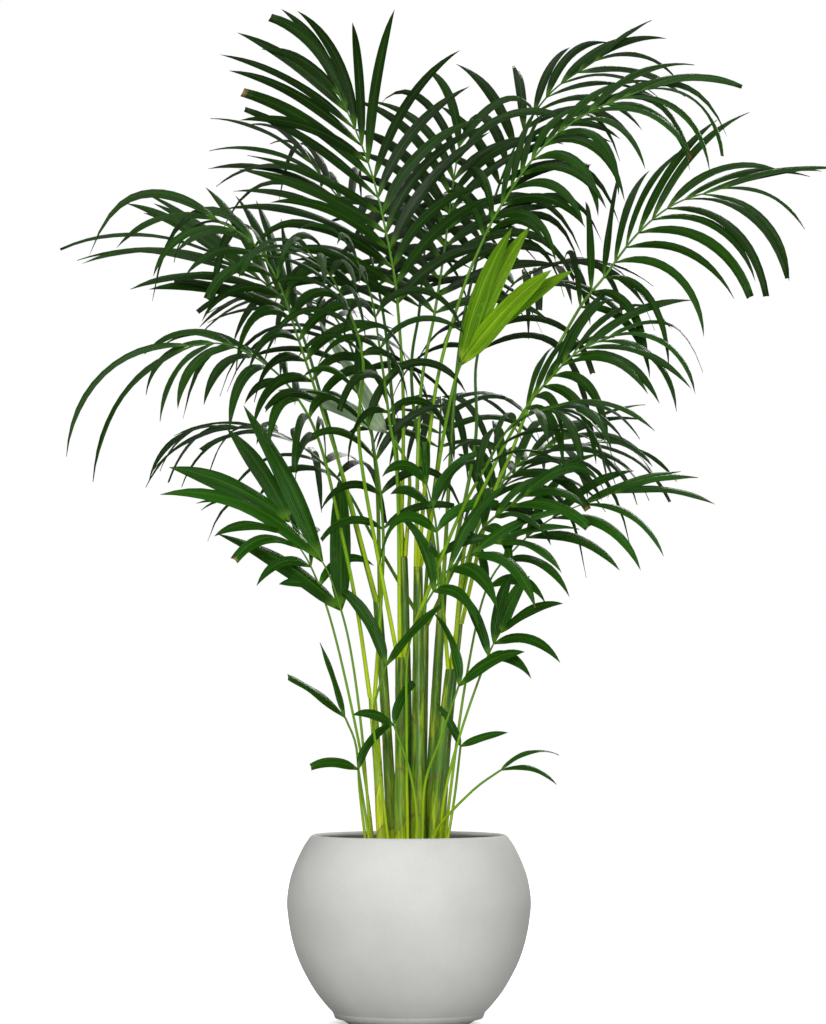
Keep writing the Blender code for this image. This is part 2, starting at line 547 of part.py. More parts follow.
def leaf_points(leaf):
    """Three corners at each section and the tip."""
    out = []
    for s, share in SECTIONS:
        mid, wide, up = along(leaf, s)
        half = wide * (leaf["width"] * 0.5 * share)
        out += [mid - half + up * 0.0004, mid + half + up * 0.0004, mid - up * LEAF_THICK]
    out.append(along(leaf, 1.0)[0])
    return out


def leaf_faces(root, p):
    """Faces of one leaflet from its four root corners and its own seven points."""
    near_top, far_top, far_low, near_low = root
    faces = [(near_top, far_top, p[0]), (far_top, p[1], p[0]), (far_top, far_low, p[2]),
             (far_top, p[2], p[1]), (far_low, near_low, p[2]), (near_low, near_top, p[0]),
             (near_low, p[0], p[2])]
    for i, j in ((0, 1), (1, 2), (2, 0)):
        faces.append((p[i], p[j], p[j + 3]))
        faces.append((p[i], p[j + 3], p[i + 3]))
        faces.append((p[i + 3], p[j + 3], p[6]))
    return faces


YOUNG = ("front_right_young", "right_broad", "left_young", "left_low_droop", "right_fan_low",
         "right_low_pair", "left_tiny_upper", "left_tiny_mid", "centre_tiny", "centre_leaf", "right_tiny_pair",
         "right_lowest", "right_low", "centre_inner")


def box_of(points):
    lo = Vector((min(p.x for p in points), min(p.y for p in points), min(p.z for p in points)))
    hi = Vector((max(p.x for p in points), max(p.y for p in points), max(p.z for p in points)))
    return lo, hi


class Thicket:
    """Small bodies already placed, each with its box and its search tree."""

    def __init__(self):
        self.rows = []

    def add(self, points, faces, owner, mark):
        lo, hi = box_of(points)
        tree = BVHTree.FromPolygons([tuple(p) for p in points], faces)
        self.rows.append((lo, hi, tree, points, owner, mark))

    def free(self, points, faces, owner, mark):
        lo, hi = box_of(points)
        pad = LEAF_GAP
        tree = BVHTree.FromPolygons([tuple(p) for p in points], faces)
        probes = list(points[4:])
        for i, j in ((4, 7), (5, 8), (6, 9), (7, 10), (8, 10), (0, 4), (1, 5)):
            probes += [points[i].lerp(points[j], 0.33), points[i].lerp(points[j], 0.67)]
        for l2, h2, tree2, points2, owner2, mark2 in self.rows:
            if (l2.x > hi.x + pad or h2.x < lo.x - pad or l2.y > hi.y + pad or h2.y < lo.y - pad
                    or l2.z > hi.z + pad or h2.z < lo.z - pad):
                continue
            same = owner == owner2
            if same and abs(mark2 - mark) < 0.6:
                continue
            if tree.overlap(tree2):
                return False
            if same and abs(mark2 - mark) < 1.6:
                pad_here = 0.0003
            else:
                pad_here = pad
            for q in probes:
                if tree2.find_nearest(q, pad_here)[0] is not None:
                    return False
            for q in points2:
                if tree.find_nearest(q, pad_here)[0] is not None:
                    return False
        return True


BOX_FACES = [(0, 1, 2, 3), (4, 5, 6, 7), (0, 1, 5, 4), (1, 2, 6, 5), (2, 3, 7, 6), (3, 0, 4, 7)]
thicket = Thicket()
for key in STEMS:
    for k in range(12):
        ring = []
        for share in (k / 12.0, (k + 1) / 12.0):
            centre = stem_axis(key, share)
            for i in range(4):
                angle = math.radians(45 + 90 * i)
                step = Vector((math.cos(angle), math.sin(angle), 0.0)) * (stem_radius(key, share) * 1.35)
                ring.append(centre + step)
        thicket.add(ring, BOX_FACES, "stem_" + key, -99)

for number, row in enumerate(FRONDS):
    rail = row["rail"]
    rings, ribs = stations(rail, row)
    marks = [(s, -50.0) for s in rings[:-1]] + [(rings[-1], -0.5)]
    for k, s in enumerate(ribs):
        marks += [(s, k + 0.0), (s + ROOT_LONG, k + 0.5)]
    for (s0, m0), (s1, m1) in zip(marks, marks[1:]):
        ring = []
        for s in (s0, s1):
            centre = rail.at(s)
            side, top = frame(rail.heading(s), row["face"])
            reach = stalk_radius(rail, row, s) * 1.47
            for i in range(4):
                angle = math.radians(45 + 90 * i)
                ring.append(centre + (side * math.cos(angle) + top * math.sin(angle)) * reach)
        thicket.add(ring, BOX_FACES, row["name"], m0)

for number, row in enumerate(FRONDS):
    rail = row["rail"]
    rings, ribs = stations(rail, row)
    verts = []
    faces = []
    smooth = []

    def ring_at(s, angles, flat=False):
        centre = rail.at(s)
        heading = Vector((0.0, 0.0, 1.0)) if flat else rail.heading(s)
        side, top = frame(heading, row["face"])
        radius = stalk_radius(rail, row, s)
        first = len(verts)
        for angle in angles:
            verts.append(centre + (side * math.cos(angle) + top * math.sin(angle)) * radius)
        return [first + i for i in range(len(angles))]

    tube = [ring_at(s, HEX, k == 0) for k, s in enumerate(rings)]
    faces.append(tuple(tube[0]))
    for low, high in zip(tube, tube[1:]):
        for i in range(6):
            j = (i + 1) % 6
            faces.append((low[i], low[j], high[j], high[i]))
    round_faces = len(faces)
    last = tube[-1]
    shelf = []
    for s in ribs:
        shelf.append((ring_at(s, TRI), ring_at(s + ROOT_LONG, TRI)))
    first = shelf[0][0]
    for k in range(3):
        faces.append((last[2 * k], last[2 * k + 1], first[k]))
        faces.append((last[2 * k + 1], last[(2 * k + 2) % 6], first[(k + 1) % 3], first[k]))
    row["leaves"] = []
    for pair, (low, high) in enumerate(shelf):
        faces.append((low[1], low[2], high[2], high[1]))
        for hand in (1, -1):
            if hand > 0:
                root = (low[0], high[0], high[1], low[1])
            else:
                root = (low[0], high[0], high[2], low[2])
            corners = [verts[i] for i in root]
            grown = None
            for trial in range(60):
                leaf = blade(rail, row, number, pair, hand, trial)
                own = leaf_points(leaf)
                local = leaf_faces((0, 1, 2, 3), list(range(4, 11)))
                if thicket.free(corners + own, local, row["name"], pair + 0.0):
                    grown = leaf
                    break
            if grown is None:
                faces.append(root)
                row["missing"] = row.get("missing", 0) + 1
                continue
            thicket.add(corners + own, local, row["name"], pair + 0.0)
            row["leaves"].append(grown)
            base = len(verts)
            verts += own
            faces += leaf_faces(root, list(range(base, base + 7)))
        if pair + 1 < len(shelf):
            nxt = shelf[pair + 1][0]
            for i in range(3):
                j = (i + 1) % 3
                faces.append((high[i], high[j], nxt[j], nxt[i]))
        else:
            faces.append(tuple(high))
    young = row["name"] in YOUNG
    colour = (0.055, 0.125, 0.030) if young else (0.030, 0.080, 0.020)
    if row["name"] == "young_spear":
        colour = (0.200, 0.360, 0.030)
    if row["name"] == "pale_leaf":
        colour = (0.330, 0.450, 0.280)
    piece("frond_" + row["name"], verts, faces, colour, 0.45,
          lambda k, n=round_faces: 0 < k < n)
    print("frond", row["name"], "room %.4f" % row["space"], "leaves", len(row["leaves"]),
          "missing", row.get("missing", 0), "faces", len(bpy.data.objects["frond_" + row["name"]].data.polygons))

print("total faces", sum(len(o.data.polygons) for o in bpy.data.objects))
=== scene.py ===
"""Potted palm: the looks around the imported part. Metres, +Z up."""

import math
import random

import bmesh
import bpy
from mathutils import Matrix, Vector, noise
from mathutils.bvhtree import BVHTree


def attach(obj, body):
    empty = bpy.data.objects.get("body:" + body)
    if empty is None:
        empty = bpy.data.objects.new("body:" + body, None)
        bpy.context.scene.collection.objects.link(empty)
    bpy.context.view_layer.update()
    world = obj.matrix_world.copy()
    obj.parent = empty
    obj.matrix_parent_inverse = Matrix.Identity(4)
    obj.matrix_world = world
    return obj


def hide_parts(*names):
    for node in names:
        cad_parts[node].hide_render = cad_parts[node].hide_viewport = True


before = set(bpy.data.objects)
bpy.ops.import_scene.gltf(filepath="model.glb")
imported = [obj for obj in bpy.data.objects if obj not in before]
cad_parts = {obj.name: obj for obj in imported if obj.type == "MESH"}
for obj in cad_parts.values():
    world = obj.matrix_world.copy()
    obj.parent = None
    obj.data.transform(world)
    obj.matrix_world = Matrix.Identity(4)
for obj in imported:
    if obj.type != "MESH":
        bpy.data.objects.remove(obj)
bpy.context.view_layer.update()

# ---- sizes shared with the solid part -------------------------------------
PLANTER_D = 0.428        # widest diameter of the globe
PLANTER_H = 0.330        # floor to the top of the lip
MOUTH_D = 0.3364         # across the lip's crest
FOOT_D = 0.2012          # across the flat foot
PLANTER_WALL = 0.008     # wall of the planter
PLANTER_FLOOR = 0.012    # thickness of its bottom
POT_RIM_GAP = 0.0305     # lip opening to the nursery pot, all round
POT_BELOW_RIM = 0.018    # lip to the nursery pot's edge
POT_WALL = 0.0018        # wall of the nursery pot
POT_SHIFT = 0.012        # the nursery pot stands a little off the axis
SOIL_BELOW_POT = 0.012   # nursery pot's edge down to the potting mix
POT_FACETS = 32          # sides of the solid nursery pot
PLANT_HEIGHT = 1.50      # potting mix to the highest leaf tip
LEAFLET_SCALE = 1.0      # length of every leaflet against the table below
LEAFLET_WIDTH = 1.0      # width of every leaflet against the table below
PETIOLE_R = 0.0038       # leaf stalk radius where it leaves its stem
LEAF_THICK = 0.0014      # keel depth of a leaflet
# ---- clearances -----------------------------------------------------------
GAP = 0.0003             # between pieces that rest on each other
LEAF_GAP = 0.0008        # between one leaflet and everything else
STALK_GAP = 0.0010       # between one stalk and the next
SEAT_GAP = 0.0007        # between three stalks seated on one stem

GROWTH = PLANT_HEIGHT / 1.50


# ---- planter --------------------------------------------------------------
# outline from foot to belly and from belly to mouth, as shares of the way out and of the height
FOOT_TO_BELLY = [(0.000, 0.000), (0.076, 0.010), (0.247, 0.052), (0.437, 0.120), (0.618, 0.205),
                 (0.818, 0.335), (0.938, 0.466), (1.000, 0.600)]
BELLY_TO_MOUTH = [(1.000, 0.680), (0.876, 0.775), (0.662, 0.855), (0.390, 0.932), (0.200, 0.972),
                  (0.095, 0.991), (0.000, 1.000)]
belly = PLANTER_D * 0.498
outer = [(FOOT_D / 2.0 + (belly - FOOT_D / 2.0) * out, PLANTER_H * up) for out, up in FOOT_TO_BELLY]
outer += [(MOUTH_D / 2.0 + (belly - MOUTH_D / 2.0) * out, PLANTER_H * up) for out, up in BELLY_TO_MOUTH]
inner = []
for k in range(3, len(outer) - 2):
    before = outer[k - 1]
    after = outer[k + 1]
    run = (after[0] - before[0], after[1] - before[1])
    size = math.hypot(*run)
    inner.append((outer[k][0] - run[1] / size * PLANTER_WALL, outer[k][1] + run[0] / size * PLANTER_WALL))
rim_r = outer[-1][0] - 0.0075
lip = [(outer[-1][0] - 0.0045, PLANTER_H - 0.0012), (rim_r, PLANTER_H - 0.0050)]
floor_r = inner[0][0] - 0.014

# ---- nursery pot and potting mix ------------------------------------------
pot_r = rim_r - POT_RIM_GAP - 0.002
pot_base_r = min(pot_r * 0.76, floor_r - POT_SHIFT - 0.003)
pot_z0 = PLANTER_FLOOR + GAP
pot_z1 = PLANTER_H - POT_BELOW_RIM
pot_slope = (pot_r - pot_base_r) / (pot_z1 - pot_z0)


def pot_outer(z):
    """Outer radius of the nursery pot's wall at a height."""
    return pot_base_r + pot_slope * (z - pot_z0)


pot_profile = [(0.0, pot_z0), (pot_base_r - 0.004, pot_z0), (pot_base_r, pot_z0 + 0.004),
               (pot_outer(pot_z1 - 0.013), pot_z1 - 0.013), (pot_outer(pot_z1) + 0.002, pot_z1 - 0.012),
               (pot_outer(pot_z1) + 0.002, pot_z1 - 0.0015), (pot_outer(pot_z1) + 0.0005, pot_z1),
               (pot_outer(pot_z1) - POT_WALL, pot_z1 - 0.0005),
               (pot_base_r - POT_WALL, pot_z0 + 0.006), (pot_base_r - 0.007, pot_z0 + 0.002),
               (0.0, pot_z0 + 0.002)]
SOIL_TOP = pot_z1 - SOIL_BELOW_POT
soil_low = pot_z0 + 0.010


def soil_r(z):
    """Radius of the potting mix at a height, inside the faceted pot wall."""
    return (pot_outer(z) - POT_WALL - 2.0 * GAP) * math.cos(math.pi / POT_FACETS) - GAP


# ---- stems ----------------------------------------------------------------
# foot (x, y), top (x, y, height above the potting mix), foot radius, top radius
STEMS = {
    "a": ((-0.048, -0.010), (-0.064, -0.016, 0.27), 0.0090, 0.0078),
    "b": ((-0.030, 0.024), (-0.056, 0.028, 0.44), 0.0100, 0.0088),
    "c": ((-0.014, -0.026), (-0.016, -0.040, 0.34), 0.0115, 0.0088),
    "d": ((0.016, -0.004), (0.016, -0.004, 0.50), 0.0135, 0.0092),
    "e": ((-0.002, 0.034), (-0.010, 0.040, 0.52), 0.0115, 0.0088),
    "f": ((0.036, 0.022), (0.060, 0.038, 0.46), 0.0100, 0.0088),
    "g": ((0.042, -0.020), (0.072, -0.036, 0.32), 0.0090, 0.0086),
    "h": ((0.054, 0.005), (0.088, 0.006, 0.40), 0.0090, 0.0080),
    "i": ((0.022, 0.056), (0.028, 0.085, 0.40), 0.0095, 0.0086),
}
SWELL = [(0.0, 1.00), (0.08, 0.93), (0.25, 1.02), (0.45, 0.96), (0.70, 0.98), (0.93, 1.00), (1.0, 0.96)]


def stem_axis(key, share):
    """Point on a stem's axis; stems start upright and lean outward higher up."""
    foot, top, _, _ = STEMS[key]
    bend = share ** 1.4
    return Vector((foot[0] + (top[0] - foot[0]) * bend, foot[1] + (top[1] - foot[1]) * bend,
                   SOIL_TOP + GAP + (top[2] * GROWTH - GAP) * share))


def stem_radius(key, share):
    """Stem radius with the swellings of the old sheaths."""
    _, _, low, high = STEMS[key]
    for (s0, f0), (s1, f1) in zip(SWELL, SWELL[1:]):
        if share <= s1:
            f = f0 + (f1 - f0) * (share - s0) / (s1 - s0)
            return (low + (high - low) * share) * f
    return high


# ---- fronds ---------------------------------------------------------------
# root: stem letter and direction in degrees on its top, or a spot on the potting mix
# path: points the stalk and midrib pass, heights above the potting mix
# fork: which path point carries the first leaflets; pairs: leaflets on each side
# reach and blade: longest leaflet and its width
# spread: degrees between midrib and leaflet; lift: degrees above the frond's own plane
# droop: bend of a leaflet over its length in radians; where two are given, one for each side
# face: where the upper side looks; tail: length of the last pair against the rest
FRONDS = []


def frond(name, root, path, fork, pairs, reach, blade, spread, lift, droop, face, tail=1.0):
    """Adds one frond's row to the table."""
    spread = spread if isinstance(spread, tuple) else (spread, spread)
    droop = droop if isinstance(droop, tuple) else (droop, droop)
    FRONDS.append(dict(name=name, root=root, path=path, fork=fork, pairs=pairs, reach=reach, blade=blade,
                       spread=spread, lift=lift, droop=droop, face=face, tail=tail))


frond("top_left", ("e", 200), [(-0.01, 0.01, 0.78), (-0.02, -0.025, 0.96), (-0.033, -0.045, 1.05),
      (-0.060, -0.06, 1.17), (-0.088, -0.075, 1.25), (-0.122, -0.085, 1.325)],
      1, 13, 0.27, 0.0185, (35, 44), 12, (0.80, 0.50), (0.15, -0.85, 0.45), 0.84)
frond("top_left_back", ("e", 80), [(-0.03, 0.08, 0.80), (-0.05, 0.11, 0.98), (-0.09, 0.15, 1.12),
      (-0.18, 0.19, 1.25)], 1, 11, 0.25, 0.017, (46, 50), 12, (1.10, 0.90), (0.35, -0.60, 0.60))
frond("top_mid", ("d", 150), [(0.02, 0.01, 0.80), (0.045, 0.03, 0.95), (0.062, 0.045, 1.06),
      (0.076, 0.055, 1.17), (0.090, 0.060, 1.26)], 1, 11, 0.24, 0.018, (44, 40), 14, (1.05, 0.90),
      (-0.05, -0.85, 0.45), 0.85)
frond("top_right_back", ("f", 90), [(0.085, 0.07, 0.85), (0.12, 0.09, 1.05), (0.18, 0.11, 1.24),
      (0.25, 0.13, 1.36), (0.34, 0.14, 1.43)], 1, 13, 0.22, 0.018, (43, 39), 13, (1.15, 0.80),
      (-0.25, -0.75, 0.55), 0.80)
frond("top_right_front", ("d", 270), [(0.045, -0.04, 0.80), (0.09, -0.06, 0.97), (0.13, -0.07, 1.07),
      (0.165, -0.08, 1.135), (0.23, -0.10, 1.225), (0.31, -0.12, 1.285), (0.40, -0.14, 1.32)],
      2, 13, 0.22, 0.017, (44, 38), 15, (1.45, 1.05), (-0.35, -0.60, 0.70))
frond("right_big", ("h", 0), [(0.143, -0.02, 0.61), (0.18, -0.03, 0.70), (0.224, -0.045, 0.813),
      (0.298, -0.06, 0.950), (0.34, -0.07, 1.003), (0.40, -0.085, 1.080), (0.465, -0.10, 1.130),
      (0.545, -0.11, 1.155)], 3, 11, 0.25, 0.016, (52, 38), 12, (1.45, 0.62), (-0.30, -0.70, 0.65), 0.80)
frond("right_mid", ("g", 340), [(0.10, -0.08, 0.55), (0.14, -0.12, 0.655), (0.20, -0.15, 0.765),
      (0.25, -0.17, 0.825), (0.29, -0.18, 0.862), (0.345, -0.19, 0.888)], 2, 9, 0.22, 0.0185, (51, 38), 14,
      (1.30, 0.75), (-0.35, -0.55, 0.75))
frond("right_inner", ("h", 120), [(0.10, 0.03, 0.50), (0.135, 0.03, 0.60), (0.19, 0.04, 0.68),
      (0.27, 0.05, 0.73)], 1, 7, 0.20, 0.020, (48, 42), 14, (1.15, 0.80), (-0.35, -0.60, 0.70))
frond("right_low", (0.062, -0.014), [(0.072, -0.01, 0.10), (0.10, 0.00, 0.30), (0.136, 0.00, 0.46),
      (0.19, -0.005, 0.535), (0.26, -0.01, 0.590), (0.36, -0.02, 0.630)], 2, 6, 0.19, 0.020, (46, 38), 12,
      (1.05, 0.60), (-0.40, -0.60, 0.70))
frond("front_right_young", (-0.002, -0.047), [(-0.004, -0.07, 0.20), (0.00, -0.09, 0.36),
      (0.04, -0.12, 0.45), (0.08, -0.14, 0.50), (0.15, -0.17, 0.535)],
      2, 4, 0.18, 0.025, (46, 36), 16, (1.00, 0.70), (-0.20, -0.65, 0.75))
frond("right_broad", ("g", 100), [(0.10, -0.05, 0.47), (0.125, -0.08, 0.56), (0.20, -0.11, 0.62)],
      1, 4, 0.17, 0.024, (46, 40), 14, 1.00, (-0.30, -0.60, 0.75))
frond("left_upper_front", ("b", 260), [(-0.07, -0.02, 0.49), (-0.11, -0.07, 0.64), (-0.155, -0.10, 0.78),
      (-0.195, -0.13, 0.90), (-0.225, -0.15, 0.985), (-0.268, -0.17, 1.05), (-0.33, -0.185, 1.09)],
      2, 11, 0.21, 0.0180, (51, 52), 14, (1.70, 1.40), (0.30, -0.65, 0.70), 1.15)
frond("left_upper_back", ("b", 140), [(-0.11, 0.05, 0.63), (-0.155, 0.06, 0.80), (-0.20, 0.07, 0.94),
      (-0.255, 0.08, 1.010), (-0.330, 0.09, 1.060)], 2, 8, 0.28, 0.020, (28, 44), 12, (0.30, 0.55),
      (0.40, -0.65, 0.65), 1.16)
frond("left_lower", ("a", 200), [(-0.09, -0.05, 0.42), (-0.118, -0.09, 0.56), (-0.156, -0.13, 0.715),
      (-0.203, -0.16, 0.80), (-0.255, -0.18, 0.847), (-0.316, -0.20, 0.873), (-0.37, -0.215, 0.868)],
      2, 9, 0.18, 0.018, (50, 52), 14, (1.80, 1.60), (0.35, -0.50, 0.80), 1.78)
frond("left_young", (-0.066, -0.012), [(-0.075, -0.01, 0.12), (-0.085, -0.02, 0.23), (-0.100, -0.03, 0.34),
      (-0.118, -0.04, 0.42), (-0.150, -0.05, 0.505), (-0.210, -0.06, 0.580)],
      3, 3, 0.30, 0.034, (13, 24), 10, (0.25, 0.40), (0.30, -0.85, 0.45), 0.80)
frond("left_low_droop", (-0.062, 0.012), [(-0.072, 0.012, 0.09), (-0.090, -0.002, 0.20),
      (-0.125, -0.03, 0.36), (-0.155, -0.05, 0.46), (-0.190, -0.065, 0.53), (-0.245, -0.08, 0.585)],
      3, 5, 0.17, 0.019, (46, 44), 12, (1.15, 1.00), (0.35, -0.55, 0.75))
frond("centre_front", ("c", 270), [(-0.02, -0.07, 0.64), (-0.035, -0.10, 0.76), (-0.05, -0.13, 0.87),
      (-0.065, -0.16, 0.96), (-0.09, -0.20, 1.02)], 1, 6, 0.19, 0.014, 50, 12, 1.55, (0.10, -0.45, 0.90))
frond("pale_leaf", ("e", 320), [(0.003, 0.03, 0.65), (-0.015, 0.02, 0.70), (-0.036, 0.01, 0.740)],
      2, 1, 0.25, 0.036, 12, 8, 0.25, (0.40, -0.80, 0.30))
frond("young_spear", ("d", 30), [(0.035, -0.01, 0.56), (0.052, -0.04, 0.68), (0.072, -0.08, 0.79),
      (0.088, -0.10, 0.845), (0.108, -0.11, 0.880)], 3, 2, 0.29, 0.036, (8, 11), 8, (0.20, 0.30),
      (-0.20, -0.95, 0.25), 0.90)
frond("right_fan_low", (0.052, -0.042), [(0.062, -0.06, 0.10), (0.09, -0.07, 0.21), (0.136, -0.09, 0.34),
      (0.160, -0.10, 0.385)], 2, 3, 0.15, 0.021, (56, 36), 14, (0.85, 0.35), (-0.20, -0.70, 0.65))
frond("right_low_pair", (0.022, -0.040), [(0.028, -0.058, 0.12), (0.055, -0.08, 0.20),
      (0.086, -0.10, 0.29)], 2, 1, 0.16, 0.022, (30, 30), 12, 0.60, (-0.30, -0.70, 0.65))
frond("right_tiny_pair", (0.064, -0.036), [(0.080, -0.034, 0.10), (0.090, -0.040, 0.185)],
      1, 1, 0.085, 0.014, (56, 30), 12, 0.30, (-0.10, -0.80, 0.60))
frond("right_lowest", (0.036, -0.056), [(0.046, -0.066, 0.035), (0.066, -0.08, 0.065),
      (0.116, -0.10, 0.115), (0.158, -0.11, 0.145)], 3, 1, 0.11, 0.017, 24, 10, 0.90, (-0.40, -0.50, 0.80))
frond("left_tiny_upper", (-0.074, 0.010), [(-0.086, 0.000, 0.10), (-0.093, -0.005, 0.185),
      (-0.112, -0.010, 0.235)], 2, 1, 0.14, 0.018, (16, 28), 10, 0.35, (0.45, -0.60, 0.65))
frond("left_tiny_mid", (-0.066, -0.034), [(-0.078, -0.040, 0.08), (-0.088, -0.050, 0.145)],
      1, 1, 0.11, 0.018, (26, 52), 10, 0.45, (0.35, -0.65, 0.65))
frond("centre_tiny", (0.010, -0.060), [(0.014, -0.070, 0.06), (0.002, -0.080, 0.14),
      (-0.026, -0.090, 0.222)], 2, 1, 0.10, 0.016, 34, 12, 0.60, (0.35, -0.75, 0.50))
frond("centre_leaf", (-0.034, -0.050), [(-0.050, -0.062, 0.14), (-0.062, -0.075, 0.24),
      (-0.040, -0.085, 0.325)], 2, 1, 0.15, 0.022, 26, 12, 0.45, (-0.30, -0.75, 0.50))
frond("centre_inner", ("g", 220), [(0.060, -0.07, 0.42), (0.052, -0.10, 0.51), (0.045, -0.12, 0.58),
      (0.030, -0.14, 0.64)], 1, 4, 0.14, 0.018, 44, 12, 0.90, (0.20, -0.70, 0.65))
frond("left_inner", ("a", 320), [(-0.050, -0.04, 0.42), (-0.045, -0.06, 0.56), (-0.060, -0.08, 0.70),
      (-0.090, -0.10, 0.80)], 1, 5, 0.17, 0.015, 46, 12, 1.25, (0.20, -0.60, 0.75))
frond("back_left", ("b", 20), [(-0.06, 0.12, 0.68), (-0.09, 0.20, 0.86), (-0.14, 0.30, 0.98),
      (-0.21, 0.42, 1.04)], 1, 9, 0.26, 0.017, 50, 14, 1.25, (0.25, -0.30, 0.90))
frond("back_right", ("f", 330), [(0.10, 0.12, 0.72), (0.13, 0.20, 0.90), (0.19, 0.30, 1.04),
      (0.30, 0.41, 1.10)], 1, 9, 0.26, 0.017, 50, 14, 1.25, (-0.40, -0.40, 0.80))
frond("back_right_low", ("i", 0), [(0.09, 0.16, 0.52), (0.15, 0.22, 0.63), (0.24, 0.31, 0.72),
      (0.34, 0.38, 0.75)], 1, 8, 0.23, 0.018, 48, 14, 1.25, (-0.50, -0.40, 0.80))
frond("back_left_low", ("i", 240), [(-0.06, 0.16, 0.55), (-0.13, 0.22, 0.67), (-0.24, 0.30, 0.76),
      (-0.36, 0.36, 0.78)], 1, 8, 0.23, 0.018, 52, 14, 1.15, (0.50, -0.40, 0.80), 0.9)
frond("back_centre", ("f", 210), [(0.02, 0.12, 0.82), (0.01, 0.18, 0.98), (0.02, 0.26, 1.12),
      (0.04, 0.36, 1.20)], 1, 9, 0.25, 0.017, 52, 14, 1.20, (0.00, -0.50, 0.85))
frond("back_mid", ("i", 120), [(0.04, 0.18, 0.60), (0.055, 0.27, 0.73), (0.06, 0.38, 0.83),
      (0.06, 0.50, 0.84)], 1, 8, 0.23, 0.018, 52, 14, 1.15, (0.00, -0.40, 0.95))
frond("front_left", ("c", 150), [(-0.060, -0.14, 0.69), (-0.085, -0.20, 0.85), (-0.12, -0.29, 0.96),
      (-0.16, -0.39, 1.01)], 1, 7, 0.20, 0.015, 50, 14, 1.40, (0.30, -0.10, 0.95))
frond("front_right", ("c", 30), [(0.07, -0.14, 0.56), (0.13, -0.21, 0.66), (0.20, -0.30, 0.73),
      (0.27, -0.39, 0.75)], 1, 7, 0.19, 0.0165, 48, 14, 1.30, (-0.30, -0.10, 0.95))

TRI = [math.radians(a) for a in (90, -30, -150)]   # corners of a midrib, from its upper side
ROOT_LONG = 0.007        # length of midrib one leaflet is grown to
PATH_STEPS = 14          # samples between two points of a path
AIM_STEP = 0.004         # length each way over which a rail's direction is taken
STALK_TRIES = 160        # ways a stalk is laid before the roomiest one is taken
STALK_JOG = 0.00035      # how much further each try shifts the points of a stalk
LEAF_TRIES = 60          # ways a leaflet is held before it is left out
LOW_GIRTH = 0.74         # girth of a stalk that comes straight out of the mix
STALK_SEED = 500         # first seed of the stalks, one for each frond
LEAF_SEED = 100000       # first seed of the leaflets, a thousand for each frond
STALK_BOX = 1.47         # box round a stalk against its radius
STEM_BOX = 1.35          # box round a stem against its radius
SEATS = (2.0 * PETIOLE_R + SEAT_GAP) / math.sqrt(3.0)   # from the stem's axis to each stalk seated on it


def smooth_path(points, steps=PATH_STEPS):
    """Catmull-Rom curve through the points, with the sample number of each point."""
    ends = [points[0] * 2.0 - points[1]] + points + [points[-1] * 2.0 - points[-2]]
    out = []
    for k in range(1, len(ends) - 2):
        a, b, c, d = ends[k - 1:k + 3]
        for j in range(steps):
            t = j / steps
            out.append(0.5 * (b * 2.0 + (c - a) * t + (a * 2.0 - b * 5.0 + c * 4.0 - d) * t * t
                              + (b * 3.0 - a - c * 3.0 + d) * t ** 3))
    out.append(points[-1].copy())
    return out


class Rail:
    """Curve that can be asked for a place and a direction by length."""

    def __init__(self, points, fork):
        self.line = smooth_path(points)
        self.run = [0.0]
        for a, b in zip(self.line, self.line[1:]):
            self.run.append(self.run[-1] + (b - a).length)
        self.fork = self.run[fork * PATH_STEPS]
        self.length = self.run[-1]

    def at(self, s):
        """Place at a length from the foot."""
        s = min(max(s, 0.0), self.length)
        low = 0
        high = len(self.run) - 1
        while high - low > 1:
            mid = (low + high) // 2
            if self.run[mid] <= s:
                low = mid
            else:
                high = mid
        f = (s - self.run[low]) / (self.run[high] - self.run[low])
        return self.line[low].lerp(self.line[high], f)

    def heading(self, s):
        """Direction at a length from the foot."""
        return (self.at(s + AIM_STEP) - self.at(s - AIM_STEP)).normalized()


def frame_of(heading, face):
    """Side and upper directions of a frond."""
    side = heading.cross(Vector(face)).normalized()
    return side, side.cross(heading)


def stations(rail, row):
    """Lengths of the stalk's rings and of each pair of leaflets."""
    stalk = max(3, int(round((rail.fork + 0.05) / 0.13)))
    rings = [(rail.fork - 0.006) * k / stalk for k in range(stalk + 1)]
    ribs = []
    free = rail.length - rail.fork - ROOT_LONG
    for k in range(row["pairs"]):
        u = k / (row["pairs"] - 1) if row["pairs"] > 1 else 0.0
        ribs.append(rail.fork + free * u)
    return rings, ribs


def stalk_radius(rail, row, s):
    """Radius of stalk and midrib along their length."""
    low = PETIOLE_R * row["girth"]
    if s < rail.fork:
        return low * (1.0 - 0.32 * s / rail.fork)
    return low * (0.68 - 0.36 * (s - rail.fork) / max(rail.length - rail.fork, 0.01))


def joints(rail, row):
    """The straight pieces of stalk and midrib as (place, radius)."""
    rings, ribs = stations(rail, row)
    marks = rings[:]
    for s in ribs:
        marks += [s, s + ROOT_LONG]
    return [(rail.at(s), stalk_radius(rail, row, s)) for s in marks]


def spots(line, step=0.005):
    """Sample balls along a jointed line."""
    out = []
    for (a, ra), (b, rb) in zip(line, line[1:]):
        count = max(1, int((b - a).length / step))
        for k in range(count):
            f = k / count
            out.append((a.lerp(b, f), ra + (rb - ra) * f))
    out.append(line[-1])
    return out


def cells(ball, size=0.03):
    """Cell of the coarse grid that a place falls in."""
    return tuple(int(math.floor(c / size)) for c in ball)


